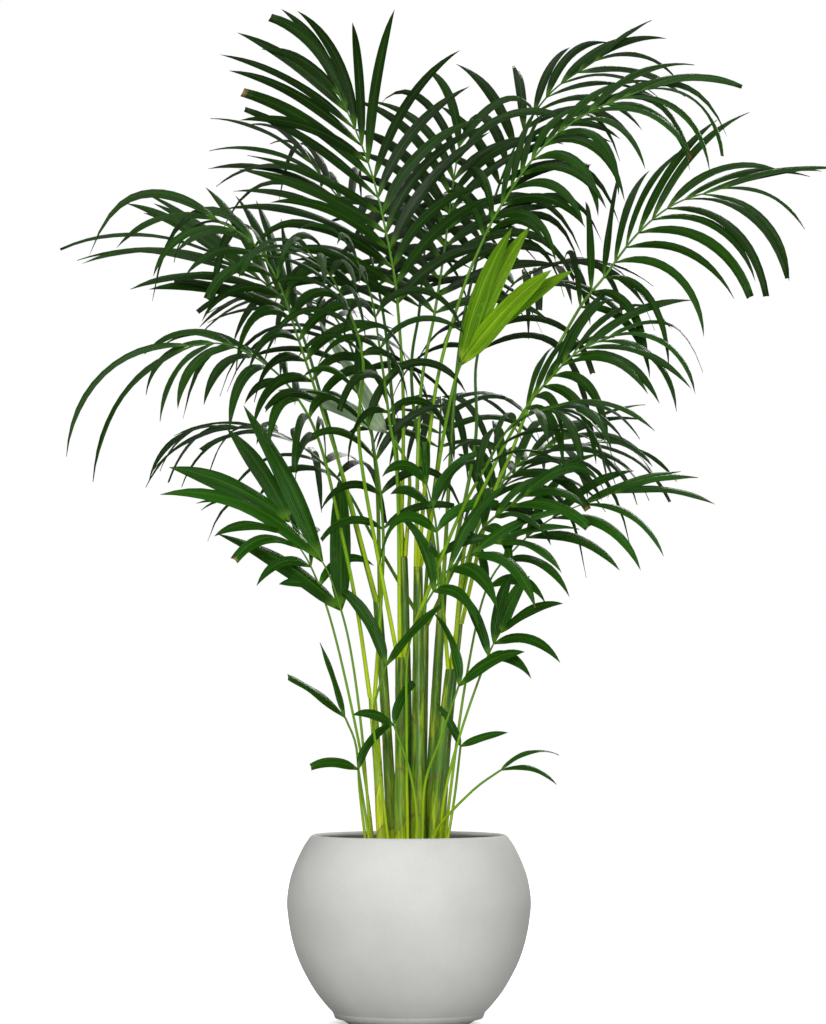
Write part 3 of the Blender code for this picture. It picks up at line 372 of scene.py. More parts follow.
class Crowd:
    """Balls already standing, found through a coarse grid."""

    def __init__(self):
        self.grid = {}

    def add(self, balls, owner):
        """Puts the balls of one owner into the grid."""
        for place, radius in balls:
            self.grid.setdefault(cells(place), []).append((place, radius, owner))

    def room(self, balls, skip):
        """Smallest free distance from the balls to everything of another owner."""
        best = 1.0
        for place, radius in balls:
            ci, cj, ck = cells(place)
            for i in (ci - 1, ci, ci + 1):
                for j in (cj - 1, cj, cj + 1):
                    for k in (ck - 1, ck, ck + 1):
                        for other, r2, owner in self.grid.get((i, j, k), ()):
                            if owner != skip:
                                best = min(best, (other - place).length - radius - r2)
        return best


crowd = Crowd()
for key in STEMS:
    axis = [(stem_axis(key, k / 60.0), stem_radius(key, k / 60.0)) for k in range(61)]
    crowd.add(axis, "stem_" + key)

for number, row in enumerate(FRONDS):
    root = row["root"]
    on_stem = isinstance(root[0], str)
    row["girth"] = 1.0 if on_stem else LOW_GIRTH
    owner = "stem_" + root[0] if on_stem else ""
    if on_stem:
        turn = math.radians(root[1])
        seat = stem_axis(root[0], 1.0) + Vector((math.cos(turn), math.sin(turn), 0.0)) * SEATS
        seat.z += GAP
    else:
        seat = Vector((root[0], root[1], SOIL_TOP + GAP))
    dice = random.Random(STALK_SEED + number)
    best = None
    for attempt in range(STALK_TRIES):
        push = STALK_JOG * attempt
        points = [seat.copy()]
        for x, y, z in row["path"]:
            jog = Vector((dice.gauss(0.0, 1.0), dice.gauss(0.0, 1.0), 0.0)) * push
            points.append(Vector((x * GROWTH, y * GROWTH, SOIL_TOP + z * GROWTH)) + jog)
        rail = Rail(points, row["fork"] + 1)
        line = joints(rail, row)
        space = crowd.room(spots(line), owner)
        if best is None or space > best[0]:
            best = (space, rail, line)
        if space > STALK_GAP:
            break
    row["rail"] = best[1]
    crowd.add(spots(best[2]), row["name"])


def blade(rail, row, number, pair, hand, trial):
    """Shape of one leaflet: its root, direction, bend, length and width."""
    _, ribs = stations(rail, row)
    dice = random.Random(LEAF_SEED + number * 1000 + pair * 10 + (1 if hand > 0 else 0))
    wob = [dice.uniform(-1.0, 1.0) for _ in range(6)]
    wob2 = [0.0] * 4
    for _ in range(trial):
        wob2 = [dice.uniform(-1.0, 1.0) for _ in range(4)]
    push = 0.10 + 0.035 * trial if trial else 0.0
    s = ribs[pair]
    u = pair / (row["pairs"] - 1) if row["pairs"] > 1 else 0.6
    heading = rail.heading(s + ROOT_LONG / 2.0)
    side, top = frame_of(heading, row["face"])
    full = row["pairs"] > 1
    spread = row["spread"][0 if hand > 0 else 1]
    if full:
        spread = spread * (1.10 - 0.78 * u ** 1.5)
    a = math.radians(spread + 6.0 * wob[0] + 9.0 * push * wob2[0])
    b = math.radians(row["lift"] + 11.0 * wob[1] + 22.0 * push * wob2[1])
    share = 0.80 + 0.26 * math.sin(math.pi * (0.10 + 0.75 * u)) if full else 1.0
    if full and pair == row["pairs"] - 1:
        share *= row["tail"]
    length = row["reach"] * LEAFLET_SCALE * share * (1.0 + 0.09 * wob[2]) * (1.0 - 0.010 * trial)
    width = row["blade"] * LEAFLET_WIDTH * (1.0 + 0.08 * wob[3]) * (1.0 - 0.18 * abs(u - 0.45))
    a = max(a, 1.15 * math.asin(min(0.9, width / (0.6 * length))))
    bend = row["droop"][0 if hand > 0 else 1] * (1.0 + 0.34 * wob[4] + 0.55 * push * wob2[2])
    if wob[5] > 0.86:
        bend *= 1.45
    out = heading * math.cos(a) + (side * hand * math.cos(b) + top * math.sin(b)) * math.sin(a)
    out.normalize()
    down = Vector((0.0, 0.0, -1.0))
    room = out.angle(down)
    bend = max(0.12, min(bend, room * 0.96))
    axle = out.cross(down)
    axle.normalize()
    fall = axle.cross(out)
    across = (heading - out * heading.dot(out)).normalized()
    # every tip nods a little, and some steep leaflets have folded over near their end
    nod = 0.06 + 0.045 * wob[1]
    hook = 0.34 + 0.14 * wob[3] if out.z > 0.55 and bend > 0.8 and wob[2] > 0.1 and full else 0.0
    return dict(root=rail.at(s + ROOT_LONG / 2.0), out=out, axle=axle, fall=fall, across=across,
                length=length, width=width, bend=bend, top=top, nod=nod, hook=hook)


def along(leaf, s):
    """Middle, width direction and upper direction of a leaflet at a share of its length."""
    k = leaf["bend"]
    t = k * s
    arc = leaf["out"] * math.sin(t) + leaf["fall"] * (1.0 - math.cos(t))
    mid = leaf["root"] + arc * (leaf["length"] / k)
    mid.z -= leaf["length"] * (leaf["nod"] * s ** 3 + leaf["hook"] * s ** 6)
    ahead = leaf["out"] * math.cos(t) + leaf["fall"] * math.sin(t)
    wide = leaf["axle"] * leaf["across"].dot(leaf["axle"])
    wide += (leaf["fall"] * math.cos(t) - leaf["out"] * math.sin(t)) * leaf["across"].dot(leaf["fall"])
    up = ahead.cross(wide).normalized()
    t0 = leaf["out"].cross(leaf["across"])
    if t0.dot(leaf["top"]) < 0.0:
        up = -up
    return mid, wide, up


SECTIONS = [(0.30, 1.00), (0.68, 0.76)]     # shares of a leaflet's length and of its width
EDGE_LIFT = 0.0004       # edges of a leaflet above its middle line


def leaf_points(leaf):
    """Three corners at each section and the tip."""
    out = []
    for s, share in SECTIONS:
        mid, wide, up = along(leaf, s)
        half = wide * (leaf["width"] * 0.5 * share)
        out += [mid - half + up * EDGE_LIFT, mid + half + up * EDGE_LIFT, mid - up * LEAF_THICK]
    out.append(along(leaf, 1.0)[0])
    return out


def leaf_faces(root, p):
    """Faces of one leaflet from its four root corners and its own seven points."""
    near_top, far_top, far_low, near_low = root
    faces = [(near_top, far_top, p[0]), (far_top, p[1], p[0]), (far_top, far_low, p[2]),
             (far_top, p[2], p[1]), (far_low, near_low, p[2]), (near_low, near_top, p[0]),
             (near_low, p[0], p[2])]
    for i, j in ((0, 1), (1, 2), (2, 0)):
        faces.append((p[i], p[j], p[j + 3]))
        faces.append((p[i], p[j + 3], p[i + 3]))
        faces.append((p[i + 3], p[j + 3], p[6]))
    return faces


# fronds whose leaflets have the younger, lighter green
YOUNG = ("front_right_young", "right_broad", "left_young", "left_low_droop", "right_fan_low",
         "right_low_pair", "left_tiny_upper", "left_tiny_mid", "centre_tiny", "centre_leaf",
         "right_tiny_pair", "right_lowest", "right_low", "centre_inner")


def box_of(points):
    """Low and high corner of the box round some points."""
    lo = Vector((min(p.x for p in points), min(p.y for p in points), min(p.z for p in points)))
    hi = Vector((max(p.x for p in points), max(p.y for p in points), max(p.z for p in points)))
    return lo, hi


class Thicket:
    """Small bodies already placed, each with its box and its search tree."""

    def __init__(self):
        self.rows = []

    def add(self, points, faces, owner, mark):
        """Keeps a body; its mark says where along its owner it sits."""
        lo, hi = box_of(points)
        tree = BVHTree.FromPolygons([tuple(p) for p in points], faces)
        self.rows.append((lo, hi, tree, points, owner, mark))

    def free(self, points, faces, owner, mark):
        """Whether a body clears all others, but for its own neighbours."""
        lo, hi = box_of(points)
        tree = BVHTree.FromPolygons([tuple(p) for p in points], faces)
        probes = list(points[4:])
        for i, j in ((4, 7), (5, 8), (6, 9), (7, 10), (8, 10), (0, 4), (1, 5)):
            probes += [points[i].lerp(points[j], 0.33), points[i].lerp(points[j], 0.67)]
        for l2, h2, tree2, points2, owner2, mark2 in self.rows:
            if any(l2[i] > hi[i] + LEAF_GAP or h2[i] < lo[i] - LEAF_GAP for i in range(3)):
                continue
            same = owner == owner2
            if same and abs(mark2 - mark) < 0.6:
                continue
            if tree.overlap(tree2):
                return False
            # the next leaflets on the same midrib may stand closer
            pad = GAP if same and abs(mark2 - mark) < 1.6 else LEAF_GAP
            if any(tree2.find_nearest(q, pad)[0] is not None for q in probes):
                return False
            if any(tree.find_nearest(q, pad)[0] is not None for q in points2):
                return False
        return True


BOX_FACES = [(0, 1, 2, 3), (4, 5, 6, 7), (0, 1, 5, 4), (1, 2, 6, 5), (2, 3, 7, 6), (3, 0, 4, 7)]
thicket = Thicket()
for key in STEMS:
    for k in range(12):
        ring = []
        for share in (k / 12.0, (k + 1) / 12.0):
            centre = stem_axis(key, share)
            for i in range(4):
                angle = math.radians(45 + 90 * i)
                reach = stem_radius(key, share) * STEM_BOX
                step = Vector((math.cos(angle), math.sin(angle), 0.0)) * reach
                ring.append(centre + step)
        thicket.add(ring, BOX_FACES, "stem_" + key, -99)

for number, row in enumerate(FRONDS):
    rail = row["rail"]
    rings, ribs = stations(rail, row)
    marks = [(s, -50.0) for s in rings[:-1]] + [(rings[-1], -0.5)]
    for k, s in enumerate(ribs):
        marks += [(s, k + 0.0), (s + ROOT_LONG, k + 0.5)]
    for (s0, m0), (s1, m1) in zip(marks, marks[1:]):
        ring = []
        for s in (s0, s1):
            centre = rail.at(s)
            side, top = frame_of(rail.heading(s), row["face"])
            reach = stalk_radius(rail, row, s) * STALK_BOX
            for i in range(4):
                angle = math.radians(45 + 90 * i)
                ring.append(centre + (side * math.cos(angle) + top * math.sin(angle)) * reach)
        thicket.add(ring, BOX_FACES, row["name"], m0)

for number, row in enumerate(FRONDS):
    rail = row["rail"]
    _, ribs = stations(rail, row)
    row["leaves"] = []
    for pair, s in enumerate(ribs):
        corners3 = []
        for end in (s, s + ROOT_LONG):
            side, top = frame_of(rail.heading(end), row["face"])
            radius = stalk_radius(rail, row, end)
            corners3.append([rail.at(end) + (side * math.cos(a) + top * math.sin(a)) * radius
                             for a in TRI])
        low, high = corners3
        for hand in (1, -1):
            lower = 1 if hand > 0 else 2
            corners = [low[0], high[0], high[lower], low[lower]]
            for trial in range(LEAF_TRIES):
                leaf = blade(rail, row, number, pair, hand, trial)
                own = leaf_points(leaf)
                local = leaf_faces((0, 1, 2, 3), list(range(4, 11)))
                if thicket.free(corners + own, local, row["name"], pair + 0.0):
                    thicket.add(corners + own, local, row["name"], pair + 0.0)
                    row["leaves"].append(leaf)
                    break


# ---- node helpers ---------------------------------------------------------
MATH = "ShaderNodeMath"
VECTOR = "ShaderNodeVectorMath"
SPLIT = "ShaderNodeSeparateXYZ"
JOIN = "ShaderNodeCombineXYZ"
RAMP = "ShaderNodeMapRange"
MIX = "ShaderNodeMix"
NOISE = "ShaderNodeTexNoise"
FIELD = "GeometryNodeInputNamedAttribute"


def linear(code):
    """sRGB hex colour to the linear colour a shader wants."""
    out = []
    for k in (1, 3, 5):
        c = int(code[k:k + 2], 16) / 255.0
        out.append(c / 12.92 if c <= 0.04045 else ((c + 0.055) / 1.055) ** 2.4)
    return (*out, 1.0)


def put(tree, kind, *feeds, give=0, named=None, **settings):
    """Adds one node with its settings; a feed is a socket to link or a value to hold."""
    made = tree.nodes.new(kind)
    for key, value in settings.items():
        setattr(made, key, value)
    for place, feed in [*enumerate(feeds), *(named or {}).items()]:
        if isinstance(feed, bpy.types.NodeSocket):
            tree.links.new(feed, made.inputs[place])
        elif feed is not None:
            made.inputs[place].default_value = feed
    return made.outputs if give is None else made.outputs[give]


def times(tree, a, b):
    """Product of two values."""
    return put(tree, MATH, a, b, operation="MULTIPLY")


def stretch(tree, arrow, size):
    """A vector times a value."""
    return put(tree, VECTOR, arrow, named={"Scale": size}, operation="SCALE")


def together(tree, a, b):
    """Sum of two vectors."""
    return put(tree, VECTOR, a, b, operation="ADD")


def blend(tree, share, under, over):
    """A share of one colour over another; a colour is a socket or a hex code."""
    under, over = (linear(c) if isinstance(c, str) else c for c in (under, over))
    return put(tree, MIX, named={0: share, 6: under, 7: over}, give=2, data_type="RGBA")


def shade(tree, colour, light):
    """A colour made darker or lighter by a factor."""
    return put(tree, MIX, named={0: 1.0, 6: colour, 7: put(tree, JOIN, light, light, light)}, give=2,
               data_type="RGBA", blend_type="MULTIPLY")


def roughen(tree, shader, strength, distance, height):
    """Small relief on the skin of a finish."""
    bump = put(tree, "ShaderNodeBump",
               named={"Strength": strength, "Distance": distance, "Height": height})
    tree.links.new(bump, shader.inputs["Normal"])


def finish_start(name, rough, coat=0.0, coat_rough=0.3, specular=0.5):
    """A new material with its tree and shader."""
    mat = bpy.data.materials.new(name)
    mat.use_nodes = True
    shader = mat.node_tree.nodes["Principled BSDF"]
    shader.inputs["Roughness"].default_value = rough
    shader.inputs["Specular IOR Level"].default_value = specular
    shader.inputs["Coat Weight"].default_value = coat
    shader.inputs["Coat Roughness"].default_value = coat_rough
    return mat, mat.node_tree, shader


# ---- finishes -------------------------------------------------------------
def leaf_finish(name, dark, mid, rib, under, rough, pleat_gap, rib_show):
    """Living palm leaf: waxy skin over lengthwise veins, so a satin sheen broken into fine lines."""
    mat, tree, shader = finish_start(name, rough, specular=0.13)
    place = put(tree, "ShaderNodeAttribute", attribute_name="place", give="Vector")
    tint = put(tree, "ShaderNodeAttribute", attribute_name="tint", give="Vector")
    u, v, level = put(tree, SPLIT, place, give=None)
    tone, dryness, wide = put(tree, SPLIT, tint, give=None)
    coords = put(tree, "ShaderNodeTexCoord", give="Object")
    # real veins are 1 to 1.5 mm apart; drawn at pleat_gap so that they show
    lines = times(tree, wide, math.pi / pleat_gap)
    pleat = put(tree, MATH, times(tree, v, lines), operation="COSINE")
    lengthwise = put(tree, JOIN, times(tree, u, 2.5), times(tree, v, 4.0), times(tree, tone, 37.0))
    streak = put(tree, NOISE, lengthwise, named={"Scale": 1.0, "Detail": 4.0})
    cloud = put(tree, NOISE, coords, named={"Scale": 9.0, "Detail": 2.0})
    ground = put(tree, MATH, tone, times(tree, cloud, 0.45), operation="ADD")
    colour = blend(tree, put(tree, RAMP, ground, 0.10, 1.10), dark, mid)
    crest = put(tree, RAMP, pleat, 0.1, 1.0, 0.0, 0.09, interpolation_type="SMOOTHSTEP")
    colour = blend(tree, crest, colour, rib)
    worn = put(tree, RAMP, streak, 0.30, 0.75, 0.70, 1.25, interpolation_type="SMOOTHSTEP")
    colour = shade(tree, colour, worn)
    # midrib and the swollen foot are paler than the blade
    off = put(tree, MATH, v, operation="ABSOLUTE")
    midrib = put(tree, RAMP, off, 0.03, 0.14, rib_show, 0.0, interpolation_type="SMOOTHSTEP")
    foot = put(tree, RAMP, u, 0.01, 0.14, 0.75, 0.0, interpolation_type="SMOOTHSTEP")
    pale = put(tree, MATH, midrib, foot, operation="MAXIMUM")
    colour = blend(tree, pale, colour, rib)
    # the underside carries no wax and is a duller, greyer green
    below = put(tree, RAMP, level, -0.9, -0.1, 0.45, 0.0)
    colour = blend(tree, below, colour, under)
    # the last millimetres of some leaflets have dried to straw
    tip = times(tree, put(tree, RAMP, u, 0.965, 0.998), put(tree, RAMP, dryness, 0.72, 0.90))
    colour = blend(tree, tip, colour, "#8f7440")
    tree.links.new(colour, shader.inputs["Base Color"])
    dull = put(tree, RAMP, cloud, 0.3, 0.7, rough - 0.05, rough + 0.08)
    tree.links.new(dull, shader.inputs["Roughness"])
    relief = put(tree, MATH, pleat, 0.6, streak, operation="MULTIPLY_ADD")
    roughen(tree, shader, 0.45, 0.0008, relief)
    return mat


def stalk_finish(name, foot, middle, end):
    """Living leaf stalk: firm smooth skin, lime at the foot and deep green among the leaflets."""
    mat, tree, shader = finish_start(name, 0.34, 0.08, 0.25, 0.22)
    share = put(tree, "ShaderNodeAttribute", attribute_name="share", give="Fac")
    run = put(tree, "ShaderNodeAttribute", attribute_name="run", give="Fac")
    girth = put(tree, "ShaderNodeAttribute", attribute_name="girth", give="Vector")
    gx, gy, _ = put(tree, SPLIT, girth, give=None)
    colour = blend(tree, put(tree, RAMP, share, 0.0, 0.42), foot, middle)
    colour = blend(tree, put(tree, RAMP, share, 0.45, 1.0), colour, end)
    lengthwise = put(tree, JOIN, gx, gy, times(tree, run, 5.0))
    streak = put(tree, NOISE, lengthwise, named={"Scale": 3.2, "Detail": 4.0})
    light = put(tree, RAMP, streak, 0.28, 0.74, 0.62, 1.28, interpolation_type="SMOOTHSTEP")
    colour = shade(tree, colour, light)
    # corky scars of 2 to 4 mm
    coords = put(tree, "ShaderNodeTexCoord", give="Object")
    scar = put(tree, RAMP, put(tree, NOISE, coords, named={"Scale": 95.0, "Detail": 2.0}), 0.66, 0.74,
               0.0, 0.6)
    colour = blend(tree, scar, colour, "#7d6a3c")
    tree.links.new(colour, shader.inputs["Base Color"])
    roughen(tree, shader, 0.30, 0.0006, streak)
    return mat


def sheath_finish(name, foot, body, crown, blush):
    """Cane wrapped in leaf sheaths: glossy ribbed skin, brown papery margins, yellow-lime patches."""
    mat, tree, shader = finish_start(name, 0.30, 0.30, 0.18, 0.25)
    share = put(tree, "ShaderNodeAttribute", attribute_name="share", give="Fac")
    wrap = put(tree, "ShaderNodeAttribute", attribute_name="wrap", give="Vector")
    girth = put(tree, "ShaderNodeAttribute", attribute_name="girth", give="Vector")
    margin, _, fresh = put(tree, SPLIT, wrap, give=None)
    colour = blend(tree, put(tree, RAMP, share, 0.0, 0.30), foot, body)
    colour = blend(tree, put(tree, RAMP, share, 0.35, 0.95), colour, crown)
    broad = put(tree, NOISE, girth, named={"Scale": 1.2, "Detail": 2.0})
    patch = put(tree, RAMP, broad, 0.46, 0.62, 0.0, blush, interpolation_type="SMOOTHSTEP")
    colour = blend(tree, patch, colour, "#aec324")
    streak = put(tree, NOISE, girth, named={"Scale": 4.5, "Detail": 5.0, "Roughness": 0.6})
    light = put(tree, RAMP, streak, 0.28, 0.72, 0.55, 1.45, interpolation_type="SMOOTHSTEP")
    colour = shade(tree, colour, light)
    newer = times(tree, fresh, 0.45)
    colour = blend(tree, newer, colour, "#5d8a30")
    coords = put(tree, "ShaderNodeTexCoord", give="Object")
    fray = put(tree, RAMP, put(tree, NOISE, coords, named={"Scale": 70.0, "Detail": 4.0}), 0.35, 0.6,
               0.35, 1.0)
    papery = times(tree, margin, fray)
    colour = blend(tree, papery, colour, "#6b5130")
    scar = put(tree, RAMP, put(tree, NOISE, coords, named={"Scale": 60.0, "Detail": 3.0}), 0.66, 0.74,
               0.0, 0.45)
    colour = blend(tree, scar, colour, "#5d4426")
    tree.links.new(colour, shader.inputs["Base Color"])
    dull = put(tree, MATH, papery, 0.4, 0.32, operation="MULTIPLY_ADD")
    tree.links.new(dull, shader.inputs["Roughness"])
    roughen(tree, shader, 0.35, 0.0008, streak)
    return mat


def fibre_clay():
    """Fibre clay, cast and sanded: matt light grey, sand grain and faint cloudy pigment, with painted
    shade in the grain's hollows and pores.
    """
    mat, tree, shader = finish_start("fibre_clay_matt_grey", 0.85, specular=0.3)
    coords = put(tree, "ShaderNodeTexCoord", give="Object")
    cloud = put(tree, NOISE, coords, named={"Scale": 7.0, "Detail": 4.0})
    # sand grains are under 0.5 mm; drawn about 1.5 mm so that they show
    grain = put(tree, NOISE, coords, named={"Scale": 640.0, "Detail": 2.0, "Roughness": 0.7})
    colour = blend(tree, put(tree, RAMP, cloud, 0.35, 0.68), "#c4c4c1", "#cececb")
    # painted shade: the low spots of the sand grain relief are darkened
    grain_hollow_shade = put(tree, RAMP, grain, 0.32, 0.62, 0.16, 0.0)
    colour = blend(tree, grain_hollow_shade, colour, "#8e8e8b")
    # painted shade: the pores, sunk by the relief below, are darkened
    cell = put(tree, "ShaderNodeTexVoronoi", coords, named={"Scale": 230.0}, give="Distance")
    pit = put(tree, RAMP, cell, 0.06, 0.14, 0.30, 0.0)
    colour = blend(tree, pit, colour, "#93938f")
    tree.links.new(colour, shader.inputs["Base Color"])
    relief = put(tree, MATH, pit, -1.2, grain, operation="MULTIPLY_ADD")
    roughen(tree, shader, 0.25, 0.0006, relief)
    return mat


def grow_pot_plastic():
    """Recycled polypropylene, injection moulded thin: blue-black, satin, scuffed on its edge."""
    mat, tree, shader = finish_start("grow_pot_black_pp", 0.42)
    coords = put(tree, "ShaderNodeTexCoord", give="Object")
    scuff = put(tree, NOISE, coords, named={"Scale": 55.0, "Detail": 5.0, "Roughness": 0.65})
    colour = blend(tree, put(tree, RAMP, scuff, 0.55, 0.80, 0.0, 0.5), "#17161f", "#3a3944")
    tree.links.new(colour, shader.inputs["Base Color"])
    tree.links.new(put(tree, RAMP, scuff, 0.3, 0.8, 0.34, 0.58), shader.inputs["Roughness"])
    roughen(tree, shader, 0.15, 0.0005, scuff)
    return mat


def potting_mix(name, dark, light, crumb_scale):
    """Peat and composted bark, loose and damp: dark, crumbly, no shine."""
    mat, tree, shader = finish_start(name, 0.92, specular=0.25)
    coords = put(tree, "ShaderNodeTexCoord", give="Object")
    crumb = put(tree, NOISE, coords, named={"Scale": crumb_scale, "Detail": 6.0, "Roughness": 0.7})
    lump = put(tree, NOISE, coords, named={"Scale": 28.0, "Detail": 3.0})
    colour = blend(tree, put(tree, RAMP, crumb, 0.35, 0.70), dark, light)
    colour = blend(tree, put(tree, RAMP, lump, 0.4, 0.7, 0.0, 0.5), colour, "#17100b")
    tree.links.new(colour, shader.inputs["Base Color"])
    relief = put(tree, MATH, crumb, lump, operation="ADD")
    roughen(tree, shader, 0.8, 0.003, relief)
    return mat


LEAF_MATURE = leaf_finish("palm_leaf_mature", "#071900", "#1e4706", "#548224", "#385826",
                          0.31, 0.0026, 0.16)
LEAF_YOUNG = leaf_finish("palm_leaf_young", "#0c2801", "#255c09", "#68982a", "#436a28",
                         0.32, 0.0030, 0.16)
LEAF_NEW = leaf_finish("palm_leaf_new", "#3c6d06", "#709c12", "#a6c036", "#8aa83c", 0.36, 0.0036, 0.30)
LEAF_PALE = leaf_finish("palm_leaf_pale_underside", "#7f9f72", "#a9c09b", "#c9d6b4", "#a5bb98",
                        0.50, 0.0036, 0.35)
STALK_LIME = stalk_finish("palm_stalk_lime", "#b6d014", "#72a210", "#3c6e14")
STALK_GREEN = stalk_finish("palm_stalk_green", "#7ba514", "#437512", "#285410")
SHEATH = sheath_finish("palm_sheath_green", "#aac41a", "#4a7618", "#366416", 0.60)
SHEATH_LIME = sheath_finish("palm_sheath_lime", "#e4e83c", "#bccf1c", "#7ba418", 0.85)
CLAY = fibre_clay()
GROW_POT = grow_pot_plastic()
PEAT = potting_mix("potting_mix_peat", "#1b130d", "#3b2a1c", 130.0)
BARK = potting_mix("potting_mix_bark", "#33221a", "#6a4a2e", 210.0)


# ---- geometry node trees --------------------------------------------------
def growth_tree(name, sizes):
    """An empty tree: a mesh goes in with the named sizes, and a mesh comes out."""
    tree = bpy.data.node_groups.new(name, "GeometryNodeTree")
    tree.interface.new_socket("Geometry", in_out="INPUT", socket_type="NodeSocketGeometry")
    for label, kind in sizes:
        tree.interface.new_socket(label, in_out="INPUT", socket_type=kind)
    tree.interface.new_socket("Geometry", in_out="OUTPUT", socket_type="NodeSocketGeometry")
    put(tree, "NodeGroupOutput", give=None)
    return tree, put(tree, "NodeGroupInput", give=None)


def grow(obj, tree, sizes, name):
    """Runs a tree with its inputs set and hands back one plain mesh object."""
    mod = obj.modifiers.new("grow", "NODES")
    mod.node_group = tree
    for item in tree.interface.items_tree:
        if item.in_out == "INPUT" and item.name in sizes:
            mod[item.identifier] = sizes[item.name]
    graph = bpy.context.evaluated_depsgraph_get()
    mesh = bpy.data.meshes.new_from_object(obj.evaluated_get(graph), depsgraph=graph)
    old = obj.data
    bpy.data.objects.remove(obj, do_unlink=True)
    bpy.data.meshes.remove(old)
    return placed(name, mesh)


def placed(name, data):
    """A new object in the scene."""
    obj = bpy.data.objects.new(name, data)
    bpy.context.scene.collection.objects.link(obj)
    return obj


def mark_points(mesh, marks):
    """Gives each point of a mesh its own value or vector under each name."""
    for key, values in marks.items():
        single = isinstance(values[0], float)
        store = mesh.attributes.new(key, "FLOAT" if single else "FLOAT_VECTOR", "POINT")
        for spot, value in zip(store.data, values):
            setattr(spot, "value" if single else "vector", value)


def ready(obj, slot, *nodes):
    """Says what a finished piece rides on and replaces; slot is not used."""
    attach(obj, "root")
    if nodes:
        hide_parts(*nodes)


# half width of a leaflet along its length
OUTLINE = [(0.0, 0.15), (0.04, 0.34), (0.12, 0.74), (0.25, 0.97), (0.40, 1.0), (0.58, 0.94), (0.74, 0.76),
           (0.87, 0.46), (0.95, 0.20), (1.0, 0.015)]


